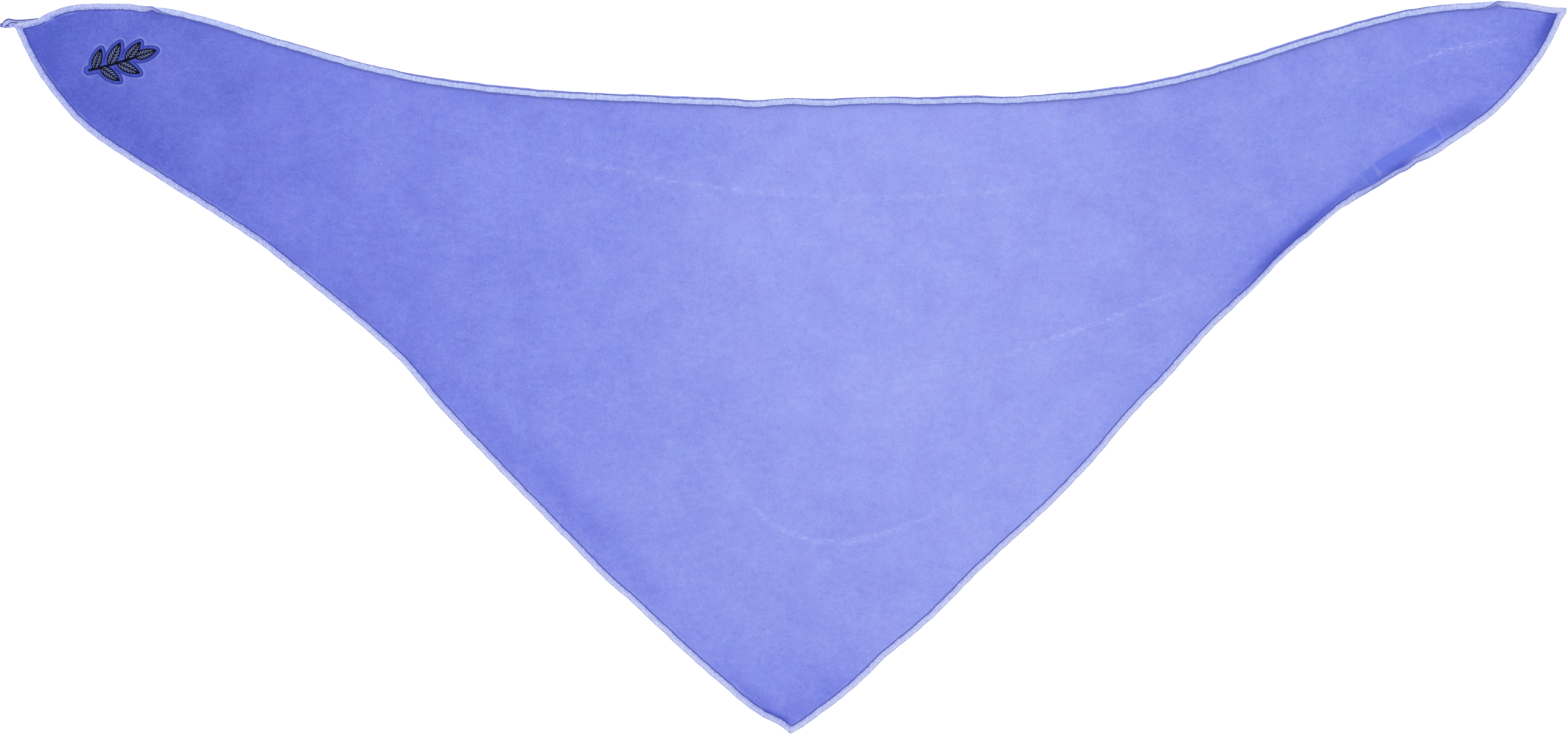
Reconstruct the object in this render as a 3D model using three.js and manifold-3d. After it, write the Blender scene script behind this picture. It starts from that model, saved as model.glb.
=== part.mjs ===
// Triangular neckerchief lying flat, front face up: one cut of brushed cloth with an overlocked edge on
// each of its three sides, a thread tail at the left tip, an embroidered sprig near that tip, and a woven
// label with a size tag on the back. X runs along the long edge, Y towards it, Z up from the surface.
import * as THREE from 'three';
import { mergeVertices } from 'three/addons/utils/BufferGeometryUtils.js';
import Module from 'manifold-3d';

const wasm = await Module();
wasm.setup();

// Plan size of the finished piece, in millimetres
const WIDTH = 1000;
const DROP = 468;
const TOP_SAG = 54;
const SIDE_BOW = 17.5;

// Cloth, overlock thread and the clearances between them
const CLOTH_T = 1.2;
const BAND_W = 3.9;
const THREAD_T = 0.4;
const EDGE_GAP = 0.3;
const LAY_GAP = 0.3;
const BEND_CLEAR = 0.3;
const RIPPLE_H = 3;

// Thread tail at the left tip
const TAIL_L = 19.2;
const TAIL_W = 5.8;
const TAIL_T = 1.5;

// Embroidered sprig and the patch that backs it
const MOTIF_L = 47;
const PATCH_MARGIN = 2.3;
const PATCH_T = 0.4;
const STITCH_T = 0.5;
const STEM_W = 1.6;

// Woven label and size tag
const LABEL_L = 45;
const LABEL_W = 11;
const LABEL_T = 0.4;
const TAG_L = 8;
const TAG_GAP = 2.4;
const LABEL_TURN = THREE.MathUtils.degToRad(31);

// The folded edge turns over just far enough to lie on the cloth below it
const FOLD_R = (CLOTH_T + EDGE_GAP + THREAD_T + LAY_GAP) / 2;
const BEND_RUN = Math.PI * FOLD_R;
const BAND_OUT = CLOTH_T / 2 + EDGE_GAP + THREAD_T;
const BAND_IN = CLOTH_T / 2 + EDGE_GAP;
const FLAP = BAND_W + BEND_CLEAR;
const HEM_ZONE = FLAP + BEND_RUN + CLOTH_T;

// How finely the plan is divided
const COLUMNS = 50;
const ROWS = 8;
const BEND_STEPS = 4;
const MIDDLE = 0.5;

// The three tips: x as a share of WIDTH from the middle, y as a share of DROP from the bottom tip
const TIPS = {
  left: { x: -0.4909, y: 0.9658 },
  right: { x: 0.5, y: 0.99 },
  bottom: { x: 0.0045, y: 0 },
};

// Outline of the long edge: share along its chord, and bow outwards as a share of TOP_SAG
const TOP_EDGE = [
  { at: 0, bow: 0 }, { at: 0.008, bow: 0.045 }, { at: 0.015, bow: 0.078 }, { at: 0.02, bow: 0.125 },
  { at: 0.03, bow: 0.2 }, { at: 0.04, bow: 0.237 }, { at: 0.055, bow: 0.248 }, { at: 0.07, bow: 0.243 },
  { at: 0.085, bow: 0.213 }, { at: 0.1, bow: 0.174 }, { at: 0.12, bow: 0.085 }, { at: 0.14, bow: -0.022 },
  { at: 0.16, bow: -0.14 }, { at: 0.18, bow: -0.245 }, { at: 0.2, bow: -0.36 }, { at: 0.22, bow: -0.468 },
  { at: 0.24, bow: -0.559 }, { at: 0.26, bow: -0.634 }, { at: 0.28, bow: -0.695 }, { at: 0.3, bow: -0.745 },
  { at: 0.32, bow: -0.79 }, { at: 0.34, bow: -0.826 }, { at: 0.36, bow: -0.856 }, { at: 0.38, bow: -0.88 },
  { at: 0.4, bow: -0.897 }, { at: 0.42, bow: -0.917 }, { at: 0.44, bow: -0.936 }, { at: 0.46, bow: -0.955 },
  { at: 0.479, bow: -0.982 }, { at: 0.5, bow: -0.962 }, { at: 0.52, bow: -0.974 }, { at: 0.555, bow: -0.957 },
  { at: 0.585, bow: -0.967 }, { at: 0.615, bow: -0.955 }, { at: 0.645, bow: -0.973 },
  { at: 0.67, bow: -0.94 }, { at: 0.69, bow: -0.914 }, { at: 0.71, bow: -0.87 }, { at: 0.73, bow: -0.814 },
  { at: 0.75, bow: -0.74 }, { at: 0.77, bow: -0.65 }, { at: 0.79, bow: -0.544 }, { at: 0.81, bow: -0.433 },
  { at: 0.83, bow: -0.317 }, { at: 0.85, bow: -0.214 }, { at: 0.87, bow: -0.113 }, { at: 0.89, bow: -0.026 },
  { at: 0.91, bow: 0.03 }, { at: 0.93, bow: 0.06 }, { at: 0.948, bow: 0.07 }, { at: 0.957, bow: 0.088 },
  { at: 0.97, bow: 0.07 }, { at: 0.98, bow: 0.037 }, { at: 0.99, bow: 0.008 }, { at: 1, bow: 0 },
];

// Outline of the left edge, from the left tip to the bottom tip: bow as a share of SIDE_BOW
const LEFT_EDGE = [
  { at: 0, bow: 0 }, { at: 0.01, bow: 0.16 }, { at: 0.02, bow: 0.317 }, { at: 0.035, bow: 0.54 },
  { at: 0.05, bow: 0.716 }, { at: 0.07, bow: 0.88 }, { at: 0.09, bow: 0.99 }, { at: 0.11, bow: 1.048 },
  { at: 0.13, bow: 1.005 }, { at: 0.15, bow: 0.895 }, { at: 0.18, bow: 0.706 }, { at: 0.2, bow: 0.573 },
  { at: 0.22, bow: 0.438 }, { at: 0.24, bow: 0.303 }, { at: 0.26, bow: 0.16 }, { at: 0.28, bow: 0.035 },
  { at: 0.3, bow: -0.088 }, { at: 0.32, bow: -0.185 }, { at: 0.35, bow: -0.262 }, { at: 0.38, bow: -0.337 },
  { at: 0.41, bow: -0.405 }, { at: 0.44, bow: -0.45 }, { at: 0.465, bow: -0.475 }, { at: 0.49, bow: -0.445 },
  { at: 0.51, bow: -0.358 }, { at: 0.53, bow: -0.24 }, { at: 0.55, bow: -0.152 }, { at: 0.58, bow: -0.068 },
  { at: 0.61, bow: 0.013 }, { at: 0.64, bow: 0.09 }, { at: 0.67, bow: 0.16 }, { at: 0.7, bow: 0.228 },
  { at: 0.73, bow: 0.295 }, { at: 0.75, bow: 0.34 }, { at: 0.77, bow: 0.38 }, { at: 0.79, bow: 0.368 },
  { at: 0.81, bow: 0.355 }, { at: 0.84, bow: 0.375 }, { at: 0.86, bow: 0.388 }, { at: 0.9, bow: 0.373 },
  { at: 0.93, bow: 0.346 }, { at: 0.95, bow: 0.312 }, { at: 0.97, bow: 0.217 }, { at: 0.98, bow: 0.1 },
  { at: 0.986, bow: 0.03 }, { at: 0.993, bow: 0 }, { at: 1, bow: 0 },
];

// Outline of the right edge, from the right tip to the bottom tip: bow as a share of SIDE_BOW
const RIGHT_EDGE = [
  { at: 0, bow: 0 }, { at: 0.01, bow: 0.185 }, { at: 0.02, bow: 0.346 }, { at: 0.045, bow: 0.678 },
  { at: 0.07, bow: 0.866 }, { at: 0.1, bow: 1 }, { at: 0.12, bow: 1.015 }, { at: 0.14, bow: 0.925 },
  { at: 0.16, bow: 0.796 }, { at: 0.18, bow: 0.686 }, { at: 0.19, bow: 0.6 }, { at: 0.2, bow: 0.47 },
  { at: 0.21, bow: 0.345 }, { at: 0.22, bow: 0.26 }, { at: 0.24, bow: 0.11 }, { at: 0.26, bow: -0.06 },
  { at: 0.28, bow: -0.231 }, { at: 0.3, bow: -0.295 }, { at: 0.32, bow: -0.32 }, { at: 0.34, bow: -0.372 },
  { at: 0.36, bow: -0.376 }, { at: 0.38, bow: -0.326 }, { at: 0.41, bow: -0.29 }, { at: 0.445, bow: -0.3 },
  { at: 0.46, bow: -0.265 }, { at: 0.49, bow: -0.148 }, { at: 0.52, bow: -0.053 }, { at: 0.55, bow: -0.005 },
  { at: 0.58, bow: 0.104 }, { at: 0.6, bow: 0.21 }, { at: 0.613, bow: 0.272 }, { at: 0.63, bow: 0.31 },
  { at: 0.66, bow: 0.388 }, { at: 0.7, bow: 0.395 }, { at: 0.76, bow: 0.372 }, { at: 0.8, bow: 0.425 },
  { at: 0.82, bow: 0.448 }, { at: 0.85, bow: 0.43 }, { at: 0.87, bow: 0.36 }, { at: 0.887, bow: 0.33 },
  { at: 0.905, bow: 0.36 }, { at: 0.93, bow: 0.35 }, { at: 0.96, bow: 0.258 }, { at: 0.98, bow: 0.166 },
  { at: 0.99, bow: 0.1 }, { at: 1, bow: 0 },
];

// How far each edge is folded over onto the front, as a share of a half turn, along its chord
const TOP_FOLD = [
  { at: 0, turn: 0 }, { at: 0.076, turn: 0 }, { at: 0.104, turn: 1 },
  { at: 0.942, turn: 1 }, { at: 0.968, turn: 0 }, { at: 1, turn: 0 },
];
const RIGHT_FOLD = [
  { at: 0, turn: 0 }, { at: 0.19, turn: 0 }, { at: 0.22, turn: 0.34 },
  { at: 0.245, turn: 0.34 }, { at: 0.27, turn: 0 }, { at: 1, turn: 0 },
];
const LEFT_FOLD = [{ at: 0, turn: 0 }, { at: 1, turn: 0 }];

// Stretches with closer stations, as shares along the long edge: where an edge turns over, and the bottom tip
const CLOSE_RUNS = [
  { from: 0.074, to: 0.106, steps: 12 },
  { from: 0.484, to: 0.516, steps: 4 },
  { from: 0.862, to: 0.908, steps: 12 },
  { from: 0.94, to: 0.97, steps: 12 },
];

// Ripples that stand up from the surface: place as shares of WIDTH and DROP, turn in degrees,
// half length and half width as shares of WIDTH, rise as a share of RIPPLE_H
const RIPPLES = [
  { name: 'roll beside the right edge', x: 0.306, y: 0.65, turn: 43, long: 0.1, wide: 0.03, rise: 1 },
  { name: 'roll beside the left edge', x: -0.3, y: 0.655, turn: -39, long: 0.09, wide: 0.028, rise: 0.6 },
  { name: 'roll left of the bottom tip', x: -0.036, y: 0.115, turn: -42, long: 0.07, wide: 0.028, rise: 0.8 },
  { name: 'roll right of the bottom tip', x: 0.066, y: 0.13, turn: 43, long: 0.065, wide: 0.026, rise: 0.6 },
  { name: 'swell by the right tip', x: 0.462, y: 0.935, turn: 62, long: 0.05, wide: 0.026, rise: 0.8 },
  { name: 'swell under the folded edge', x: -0.09, y: 0.79, turn: -4, long: 0.13, wide: 0.04, rise: 0.5 },
];

// Place of the sprig and of the label, as shares of WIDTH and DROP
const MOTIF_AT = { x: -0.4215, y: 0.9177 };
const LABEL_AT = { x: 0.3995, y: 0.795 };

// Leaves of the sprig: share along the stem, side, turn from the stem in degrees,
// length and width as shares of MOTIF_L
const LEAVES = [
  { at: 0.14, side: 1, turn: 58, long: 0.29, wide: 0.125 },
  { at: 0.3, side: -1, turn: 50, long: 0.31, wide: 0.13 },
  { at: 0.47, side: 1, turn: 48, long: 0.34, wide: 0.14 },
  { at: 0.64, side: -1, turn: 42, long: 0.33, wide: 0.135 },
  { at: 0.8, side: 1, turn: 34, long: 0.31, wide: 0.13 },
  { at: 0.96, side: 1, turn: 0, long: 0.3, wide: 0.13 },
];
// The stem's bend: x and y as shares of MOTIF_L from the sprig's middle
const STEM = [{ x: -0.47, y: -0.13 }, { x: -0.2, y: -0.075 }, { x: 0.2, y: 0.06 }];

const COLOURS = {
  cloth: 0x8790ea,
  thread: 0xb7c0f2,
  tail: 0x8e9be0,
  patch: 0x4c59c8,
  stitch: 0x7f86bd,
  label: 0xe6e8f4,
  tag: 0xdcdff0,
};

// A value read from a table along a smooth run, each row's slope taken from its neighbours
function smoothValue(rows, column, share) {
  const last = rows.length - 1;
  let k = 0;
  while (k < last - 1 && rows[k + 1].at < share) k += 1;
  const slope = (i) => {
    const before = rows[Math.max(0, i - 1)];
    const after = rows[Math.min(last, i + 1)];
    return (after[column] - before[column]) / (after.at - before.at);
  };
  const span = rows[k + 1].at - rows[k].at;
  const t = (share - rows[k].at) / span;
  const rise = t * t * (3 - 2 * t);
  return rows[k][column] * (1 - rise) + rows[k + 1][column] * rise
    + span * t * (1 - t) * ((1 - t) * slope(k) - t * slope(k + 1));
}

// A value read from a table with an eased step between rows, so that level stretches stay level
function steppedValue(rows, column, share) {
  let k = 0;
  while (k < rows.length - 2 && rows[k + 1].at < share) k += 1;
  const t = THREE.MathUtils.clamp((share - rows[k].at) / (rows[k + 1].at - rows[k].at), 0, 1);
  return THREE.MathUtils.lerp(rows[k][column], rows[k + 1][column], THREE.MathUtils.smoothstep(t, 0, 1));
}

// A place given by shares, in millimetres from the middle of the long edge's foot
function planPoint(share) {
  return new THREE.Vector2(share.x * WIDTH, share.y * DROP);
}

// One edge of the outline: a chord between two tips, bowed outwards by its table
function makeEdge(fromTip, toTip, rows, bow, outSide, folds) {
  const from = planPoint(fromTip);
  const chord = planPoint(toTip).sub(from);
  const out = new THREE.Vector2(-chord.y, chord.x).normalize().multiplyScalar(outSide);
  const point = (share) => from.clone()
    .addScaledVector(chord, share)
    .addScaledVector(out, bow * smoothValue(rows, 'bow', share));
  const inward = (share) => {
    const step = 0.002;
    const ahead = point(Math.min(1, share + step)).sub(point(Math.max(0, share - step))).normalize();
    return new THREE.Vector2(ahead.y, -ahead.x).multiplyScalar(outSide);
  };
  const turn = (share) => Math.PI * steppedValue(folds, 'turn', share);
  return { point, inward, turn };
}

const topEdge = makeEdge(TIPS.left, TIPS.right, TOP_EDGE, TOP_SAG, 1, TOP_FOLD);
const leftEdge = makeEdge(TIPS.left, TIPS.bottom, LEFT_EDGE, SIDE_BOW, -1, LEFT_FOLD);
const rightEdge = makeEdge(TIPS.right, TIPS.bottom, RIGHT_EDGE, SIDE_BOW, 1, RIGHT_FOLD);

// Shares along the long edge at which columns stand: one clear of each tip, even steps, and the close runs
function columnShares() {
  const corner = 2 * HEM_ZONE / WIDTH;
  const shares = [0, 1];
  const inRun = (share) => CLOSE_RUNS.some((run) => share > run.from - 0.004 && share < run.to + 0.004);
  for (let i = 0; i <= COLUMNS; i += 1) {
    const share = THREE.MathUtils.lerp(corner, 1 - corner, i / COLUMNS);
    if (!inRun(share)) shares.push(share);
  }
  for (const run of CLOSE_RUNS) {
    for (let i = 0; i <= run.steps; i += 1) shares.push(THREE.MathUtils.lerp(run.from, run.to, i / run.steps));
  }
  return shares.sort((a, b) => a - b);
}

// A ripple's height at a place: full at its middle, easing to nothing at its rim
function rippleHeight(ripple, place) {
  const turn = THREE.MathUtils.degToRad(ripple.turn);
  const local = place.clone().sub(planPoint(ripple)).rotateAround(new THREE.Vector2(), -turn);
  const reach = Math.min(1, Math.hypot(local.x / (ripple.long * WIDTH), local.y / (ripple.wide * WIDTH)));
  return RIPPLE_H * ripple.rise * Math.cos(reach * Math.PI / 2) ** 2;
}

// The cloth lies over the label: level above it, easing down to the surface around it
function labelBed(place) {
  const local = place.clone().sub(planPoint(LABEL_AT)).rotateAround(new THREE.Vector2(), -LABEL_TURN);
  const apron = 1.6 * HEM_ZONE;
  const past = Math.max(
    Math.abs(local.x) - LABEL_L / 2 - TAG_L - TAG_GAP - apron,
    Math.abs(local.y) - LABEL_W / 2 - apron,
  );
  return (LABEL_T + LAY_GAP) * (1 - THREE.MathUtils.smoothstep(past, 0, apron));
}

// Height of the cloth's underside at a place, where the edge's thread may hold it up by lift
function underside(place, lift) {
  const ripples = RIPPLES.reduce((sum, ripple) => sum + rippleHeight(ripple, place), 0);
  return ripples + Math.max(lift, labelBed(place));
}

// A station on the outline: its point, its inward direction, the turn of its fold and the height of its cloth
function makeStation(point, inward, turn) {
  const bendR = turn > 0 ? BEND_RUN / turn : Infinity;
  const flat = turn <= Math.PI / 2;
  const rimReach = turn > 0 ? bendR * Math.sin(turn) : BEND_RUN;
  const start = flat
    ? rimReach + BAND_OUT * Math.sin(turn) + FLAP * Math.cos(turn)
    : Math.max(bendR + CLOTH_T / 2, (bendR + BAND_OUT) * Math.sin(turn));
  const inner = point.clone().addScaledVector(inward, HEM_ZONE);
  const lift = (BAND_OUT - CLOTH_T / 2) * Math.max(0, Math.cos(turn));
  const mid = underside(inner, lift) + CLOTH_T / 2;
  return { point, inward, turn, bendR, start, inner, mid };
}

function mitre(a, b) {
  return a.clone().add(b).divideScalar(1 + a.dot(b));
}

const shares = columnShares();
const lastColumn = shares.length - 1;
const tipStation = (edgeA, shareA, edgeB, shareB) => makeStation(
  edgeA.point(shareA),
  mitre(edgeA.inward(shareA), edgeB.inward(shareB)),
  0,
);
const leftTip = tipStation(topEdge, 0, leftEdge, 0);
const rightTip = tipStation(topEdge, 1, rightEdge, 0);
const bottomTip = tipStation(leftEdge, 1, rightEdge, 1);

function edgeStation(edge, share) {
  return makeStation(edge.point(share), edge.inward(share), edge.turn(share));
}

// Stations along the long edge, and those opposite them along the two short edges
const upper = shares.map((share, i) => {
  if (i === 0) return leftTip;
  return i === lastColumn ? rightTip : edgeStation(topEdge, share);
});
const lower = shares.map((share, i) => {
  if (i === 0) return leftTip;
  if (i === lastColumn) return rightTip;
  if (Math.abs(share - MIDDLE) < 1e-6) return bottomTip;
  return share < MIDDLE
    ? edgeStation(leftEdge, share / MIDDLE)
    : edgeStation(rightEdge, (1 - share) / (1 - MIDDLE));
});
const middleColumn = lower.indexOf(bottomTip);

// A point of the edge's cross-section: run is measured along the cloth from the start of the bend outwards,
// and rise from the middle of the cloth towards its front
function sectionPoint(station, run, rise) {
  const bend = THREE.MathUtils.clamp(run / BEND_RUN, 0, 1);
  const angle = station.turn * bend;
  const arc = station.turn > 0
    ? [station.bendR * Math.sin(angle), station.bendR * (1 - Math.cos(angle))]
    : [BEND_RUN * bend, 0];
  const straight = run < 0 ? run : Math.max(0, run - BEND_RUN);
  const out = arc[0] + straight * Math.cos(angle) - rise * Math.sin(angle);
  const up = arc[1] + straight * Math.sin(angle) + rise * Math.cos(angle);
  const plan = station.point.clone().addScaledVector(station.inward, station.start - out);
  return new THREE.Vector3(plan.x, plan.y, station.mid + up);
}

// A body being gathered: its points, and its faces as triples of point numbers
function makeBody() {
  const points = [];
  const faces = [];
  const add = (point) => points.push(point) - 1;
  const quad = (a, b, c, d) => faces.push([a, b, c], [a, c, d]);
  const fan = (a, b, c) => faces.push([a, b, c]);
  return { points, faces, add, quad, fan };
}

// Six times the volume inside the faces: its sign tells whether they point out
function signedVolume(points, faces) {
  return faces.reduce((sum, [a, b, c]) => sum + points[a].dot(points[b].clone().cross(points[c])), 0);
}

function toGeometry({ points, faces }) {
  const outward = signedVolume(points, faces) > 0;
  const index = faces.flatMap(([a, b, c]) => (outward ? [a, b, c] : [a, c, b]));
  const geometry = new THREE.BufferGeometry().setFromPoints(points);
  geometry.setIndex(index);
  geometry.computeVertexNormals();
  return geometry;
}

// The cloth: front and back skins between the edges, and an edge section that bends over with the fold
function clothGeometry() {
  const body = makeBody();
  const loop = [...upper, ...lower.slice(1, -1).reverse()];
  const bendRuns = Array.from({ length: BEND_STEPS + 1 }, (_, i) => BEND_RUN * i / BEND_STEPS);
  const freeEdge = BEND_RUN + FLAP - THREAD_T - EDGE_GAP;
  const runsOf = (station) => [station.start - HEM_ZONE, ...bendRuns, freeEdge];
  const skins = [1, -1].map((face) => loop.map((station) => runsOf(station)
    .map((run) => body.add(sectionPoint(station, run, face * CLOTH_T / 2)))));
  const [front, back] = skins;
  const lastRun = bendRuns.length + 1;
  for (let i = 0; i < loop.length; i += 1) {
    const j = (i + 1) % loop.length;
    for (let k = 0; k < lastRun; k += 1) {
      body.quad(front[i][k], front[i][k + 1], front[j][k + 1], front[j][k]);
      body.quad(back[j][k + 1], back[i][k + 1], back[i][k], back[j][k]);
    }
    body.quad(front[i][lastRun], back[i][lastRun], back[j][lastRun], front[j][lastRun]);
  }
  const upperAt = (skin, i) => skin[i][0];
  const lowerAt = (skin, i) => (i === 0 || i === lastColumn ? skin[i][0] : skin[loop.length - i][0]);
  const column = (skin, face, i) => {
    if (i === 0 || i === lastColumn) return [upperAt(skin, i)];
    const inside = Array.from({ length: ROWS - 1 }, (_, r) => {
      const depth = (1 - Math.cos(Math.PI * (r + 1) / ROWS)) / 2;
      const place = upper[i].inner.clone().lerp(lower[i].inner, depth);
      const height = underside(place, 0) + (face > 0 ? CLOTH_T : 0);
      return body.add(new THREE.Vector3(place.x, place.y, height));
    });
    return [upperAt(skin, i), ...inside, lowerAt(skin, i)];
  };
  const bridge = (left, right, face) => {
    const steps = Math.max(left.length, right.length) - 1;
    const pick = (list, k) => (list.length === 1 ? list[0] : list[k]);
    for (let k = 0; k < steps; k += 1) {
      const ring = [pick(left, k), pick(left, k + 1), pick(right, k + 1), pick(right, k)];
      const corners = [...new Set(ring)];
      if (face > 0) corners.reverse();
      if (corners.length === 4) body.quad(...corners);
      else body.fan(...corners);
    }
  };
  [[front, 1], [back, -1]].forEach(([skin, face]) => {
    const columns = shares.map((_, i) => column(skin, face, i));
    for (let i = 0; i < lastColumn; i += 1) bridge(columns[i], columns[i + 1], face);
  });
  return toGeometry(body);
}

// The overlock thread: a channel closed round the cloth's free edge, carried along a row of stations
function bandGeometry(stations) {
  const rim = BEND_RUN + FLAP;
  const inner = rim - BAND_W;
  const soften = 0.5 * THREAD_T;
  const profile = [
    { run: inner, rise: BAND_OUT }, { run: rim - soften, rise: BAND_OUT },
    { run: rim, rise: BAND_OUT - soften }, { run: rim, rise: soften - BAND_OUT },
    { run: rim - soften, rise: -BAND_OUT }, { run: inner, rise: -BAND_OUT },
    { run: inner, rise: -BAND_IN }, { run: rim - THREAD_T, rise: -BAND_IN },
    { run: rim - THREAD_T, rise: BAND_IN }, { run: inner, rise: BAND_IN },
  ];
  const body = makeBody();
  const last = stations.length - 1;
  const rings = stations.map((station, i) => {
    const end = i === 0 ? 1 : last - 1;
    const shift = i === 0 || i === last
      ? stations[end].point.clone().sub(station.point).normalize().multiplyScalar(EDGE_GAP)
      : new THREE.Vector2();
    return profile.map(({ run, rise }) => {
      const point = sectionPoint(station, run, rise);
      return body.add(new THREE.Vector3(point.x + shift.x, point.y + shift.y, point.z));
    });
  });
  const count = profile.length;
  for (let i = 0; i < last; i += 1) {
    for (let k = 0; k < count; k += 1) {
      const m = (k + 1) % count;
      const ring = [rings[i][k], rings[i][m], rings[i + 1][m], rings[i + 1][k]];
      // Each quad splits from its inner corner to its outer one, as the cloth's do, so that both twist alike
      if (profile[m].run < profile[k].run) ring.push(ring.shift());
      body.quad(...ring);
    }
  }
  // The end is a C: its two arms and its back close as separate quads
  const capEnd = (ring, flip) => {
    const parts = [
      [ring[0], ring[1], ring[8], ring[9]], [ring[1], ring[2], ring[3], ring[8]],
      [ring[3], ring[4], ring[7], ring[8]], [ring[4], ring[5], ring[6], ring[7]],
    ];
    parts.forEach((part) => body.quad(...(flip ? part.reverse() : part)));
  };
  capEnd(rings[0], true);
  capEnd(rings[last], false);
  return toGeometry(body);
}

// The thread tail: a crumpled end left of the left tip, and a thin strand that runs back beside the long edge.
// Its sections go from the strand's end to the crumpled one, placed from the tip as shares of TAIL_L.
function tailGeometry() {
  const sections = [
    { x: 0.55, y: 0.22, wide: 0.08, thick: 0.4 }, { x: 0.4, y: 0.2, wide: 0.2, thick: 0.6 },
    { x: 0.22, y: 0.17, wide: 0.3, thick: 0.8 }, { x: 0.02, y: 0.145, wide: 0.38, thick: 0.9 },
    { x: -0.1, y: 0.1, wide: 0.78, thick: 1 }, { x: -0.2, y: 0.07, wide: 1, thick: 1 },
    { x: -0.33, y: 0.055, wide: 0.86, thick: 0.95 }, { x: -0.43, y: 0.05, wide: 0.36, thick: 0.6 },
  ];
  const sides = 8;
  const body = makeBody();
  const centres = sections.map((section) => (
    leftTip.point.clone().add(new THREE.Vector2(section.x, section.y).multiplyScalar(TAIL_L))
  ));
  const rings = sections.map((section, i) => {
    const next = centres[Math.min(i + 1, centres.length - 1)];
    const ahead = next.clone().sub(centres[Math.max(i - 1, 0)]).normalize();
    const across = new THREE.Vector2(-ahead.y, ahead.x);
    return Array.from({ length: sides }, (_, k) => {
      const angle = 2 * Math.PI * (k + 0.5) / sides;
      const place = centres[i].clone().addScaledVector(across, TAIL_W * section.wide / 2 * Math.cos(angle));
      const up = TAIL_T / 2 * (1 + section.thick * Math.sin(angle) / Math.sin(2.5 * Math.PI * 2 / sides));
      return body.add(new THREE.Vector3(place.x, place.y, Math.max(0, up)));
    });
  });
  for (let i = 0; i < rings.length - 1; i += 1) {
    for (let k = 0; k < sides; k += 1) {
      const m = (k + 1) % sides;
      body.quad(rings[i][k], rings[i][m], rings[i + 1][m], rings[i + 1][k]);
    }
  }
  for (let k = 1; k < sides - 1; k += 1) {
    body.fan(rings[0][0], rings[0][k + 1], rings[0][k]);
    const end = rings[rings.length - 1];
    body.fan(end[0], end[k], end[k + 1]);
  }
  return toGeometry(body);
}

// A leaf's outline, pointed at both ends, grown by a margin all round
function leafShape(long, wide, margin) {
  const tip = long + margin;
  const half = wide / 2 + margin;
  const shape = new THREE.Shape();
  shape.moveTo(-margin, 0);
  shape.bezierCurveTo(-margin + 0.1 * long, half * 1.25, long * 0.62, half * 1.25, tip, 0);
  shape.bezierCurveTo(long * 0.62, -half * 1.25, -margin + 0.1 * long, -half * 1.25, -margin, 0);
  return shape;
}

// The stem's outline: a band along its curve, grown by a margin all round
function stemShape(curve, margin) {
  const steps = 10;
  const half = STEM_W / 2 + margin;
  const sides = [1, -1].map((side) => Array.from({ length: steps + 1 }, (_, i) => {
    const along = curve.getTangent(i / steps);
    return curve.getPoint(i / steps).addScaledVector(new THREE.Vector2(-along.y, along.x), side * half);
  }));
  return new THREE.Shape([...sides[0], ...sides[1].reverse()]);
}

function toManifold(geometry) {
  geometry.deleteAttribute('normal');
  geometry.deleteAttribute('uv');
  const merged = mergeVertices(geometry, 1e-4);
  return new wasm.Manifold(new wasm.Mesh({
    numProp: 3,
    vertProperties: new Float32Array(merged.attributes.position.array),
    triVerts: new Uint32Array(merged.index.array),
  }));
}

function fromManifold(solid) {
  const mesh = solid.getMesh();
  const geometry = new THREE.BufferGeometry();
  geometry.setAttribute('position', new THREE.BufferAttribute(new Float32Array(mesh.vertProperties), 3));
  geometry.setIndex([...mesh.triVerts]);
  geometry.computeVertexNormals();
  return geometry;
}

// The sprig as one plate: its stem and leaves, grown by a margin and as thick as asked
function sprigGeometry(margin, thick) {
  const points = STEM.map((share) => new THREE.Vector2(share.x * MOTIF_L, share.y * MOTIF_L));
  const curve = new THREE.QuadraticBezierCurve(...points);
  const settings = { depth: thick, bevelEnabled: false, curveSegments: 7 };
  let sprig = toManifold(new THREE.ExtrudeGeometry(stemShape(curve, margin), settings));
  for (const leaf of LEAVES) {
    const along = curve.getTangent(leaf.at);
    const shape = leafShape(leaf.long * MOTIF_L, leaf.wide * MOTIF_L, margin);
    const plate = new THREE.ExtrudeGeometry(shape, settings);
    plate.rotateZ(Math.atan2(along.y, along.x) + leaf.side * THREE.MathUtils.degToRad(leaf.turn));
    const root = curve.getPoint(leaf.at);
    plate.translate(root.x, root.y, 0);
    sprig = sprig.add(toManifold(plate));
  }
  return fromManifold(sprig);
}

// A woven strip lying flat, its corners a little rounded
function stripGeometry(long, wide, thick) {
  const r = 0.08 * wide;
  const shape = new THREE.Shape();
  shape.moveTo(-long / 2 + r, -wide / 2);
  shape.lineTo(long / 2 - r, -wide / 2);
  shape.quadraticCurveTo(long / 2, -wide / 2, long / 2, -wide / 2 + r);
  shape.lineTo(long / 2, wide / 2 - r);
  shape.quadraticCurveTo(long / 2, wide / 2, long / 2 - r, wide / 2);
  shape.lineTo(-long / 2 + r, wide / 2);
  shape.quadraticCurveTo(-long / 2, wide / 2, -long / 2, wide / 2 - r);
  shape.lineTo(-long / 2, -wide / 2 + r);
  shape.quadraticCurveTo(-long / 2, -wide / 2, -long / 2 + r, -wide / 2);
  return new THREE.ExtrudeGeometry(shape, { depth: thick, bevelEnabled: false, curveSegments: 2 });
}

function makeMesh(name, geometry, colour, roughness) {
  const material = new THREE.MeshStandardMaterial({ color: colour, roughness, metalness: 0 });
  const mesh = new THREE.Mesh(geometry, material);
  mesh.name = name;
  return mesh;
}

const neckerchief = new THREE.Group();
neckerchief.add(makeMesh('cloth_panel', clothGeometry(), COLOURS.cloth, 0.95));

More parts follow.
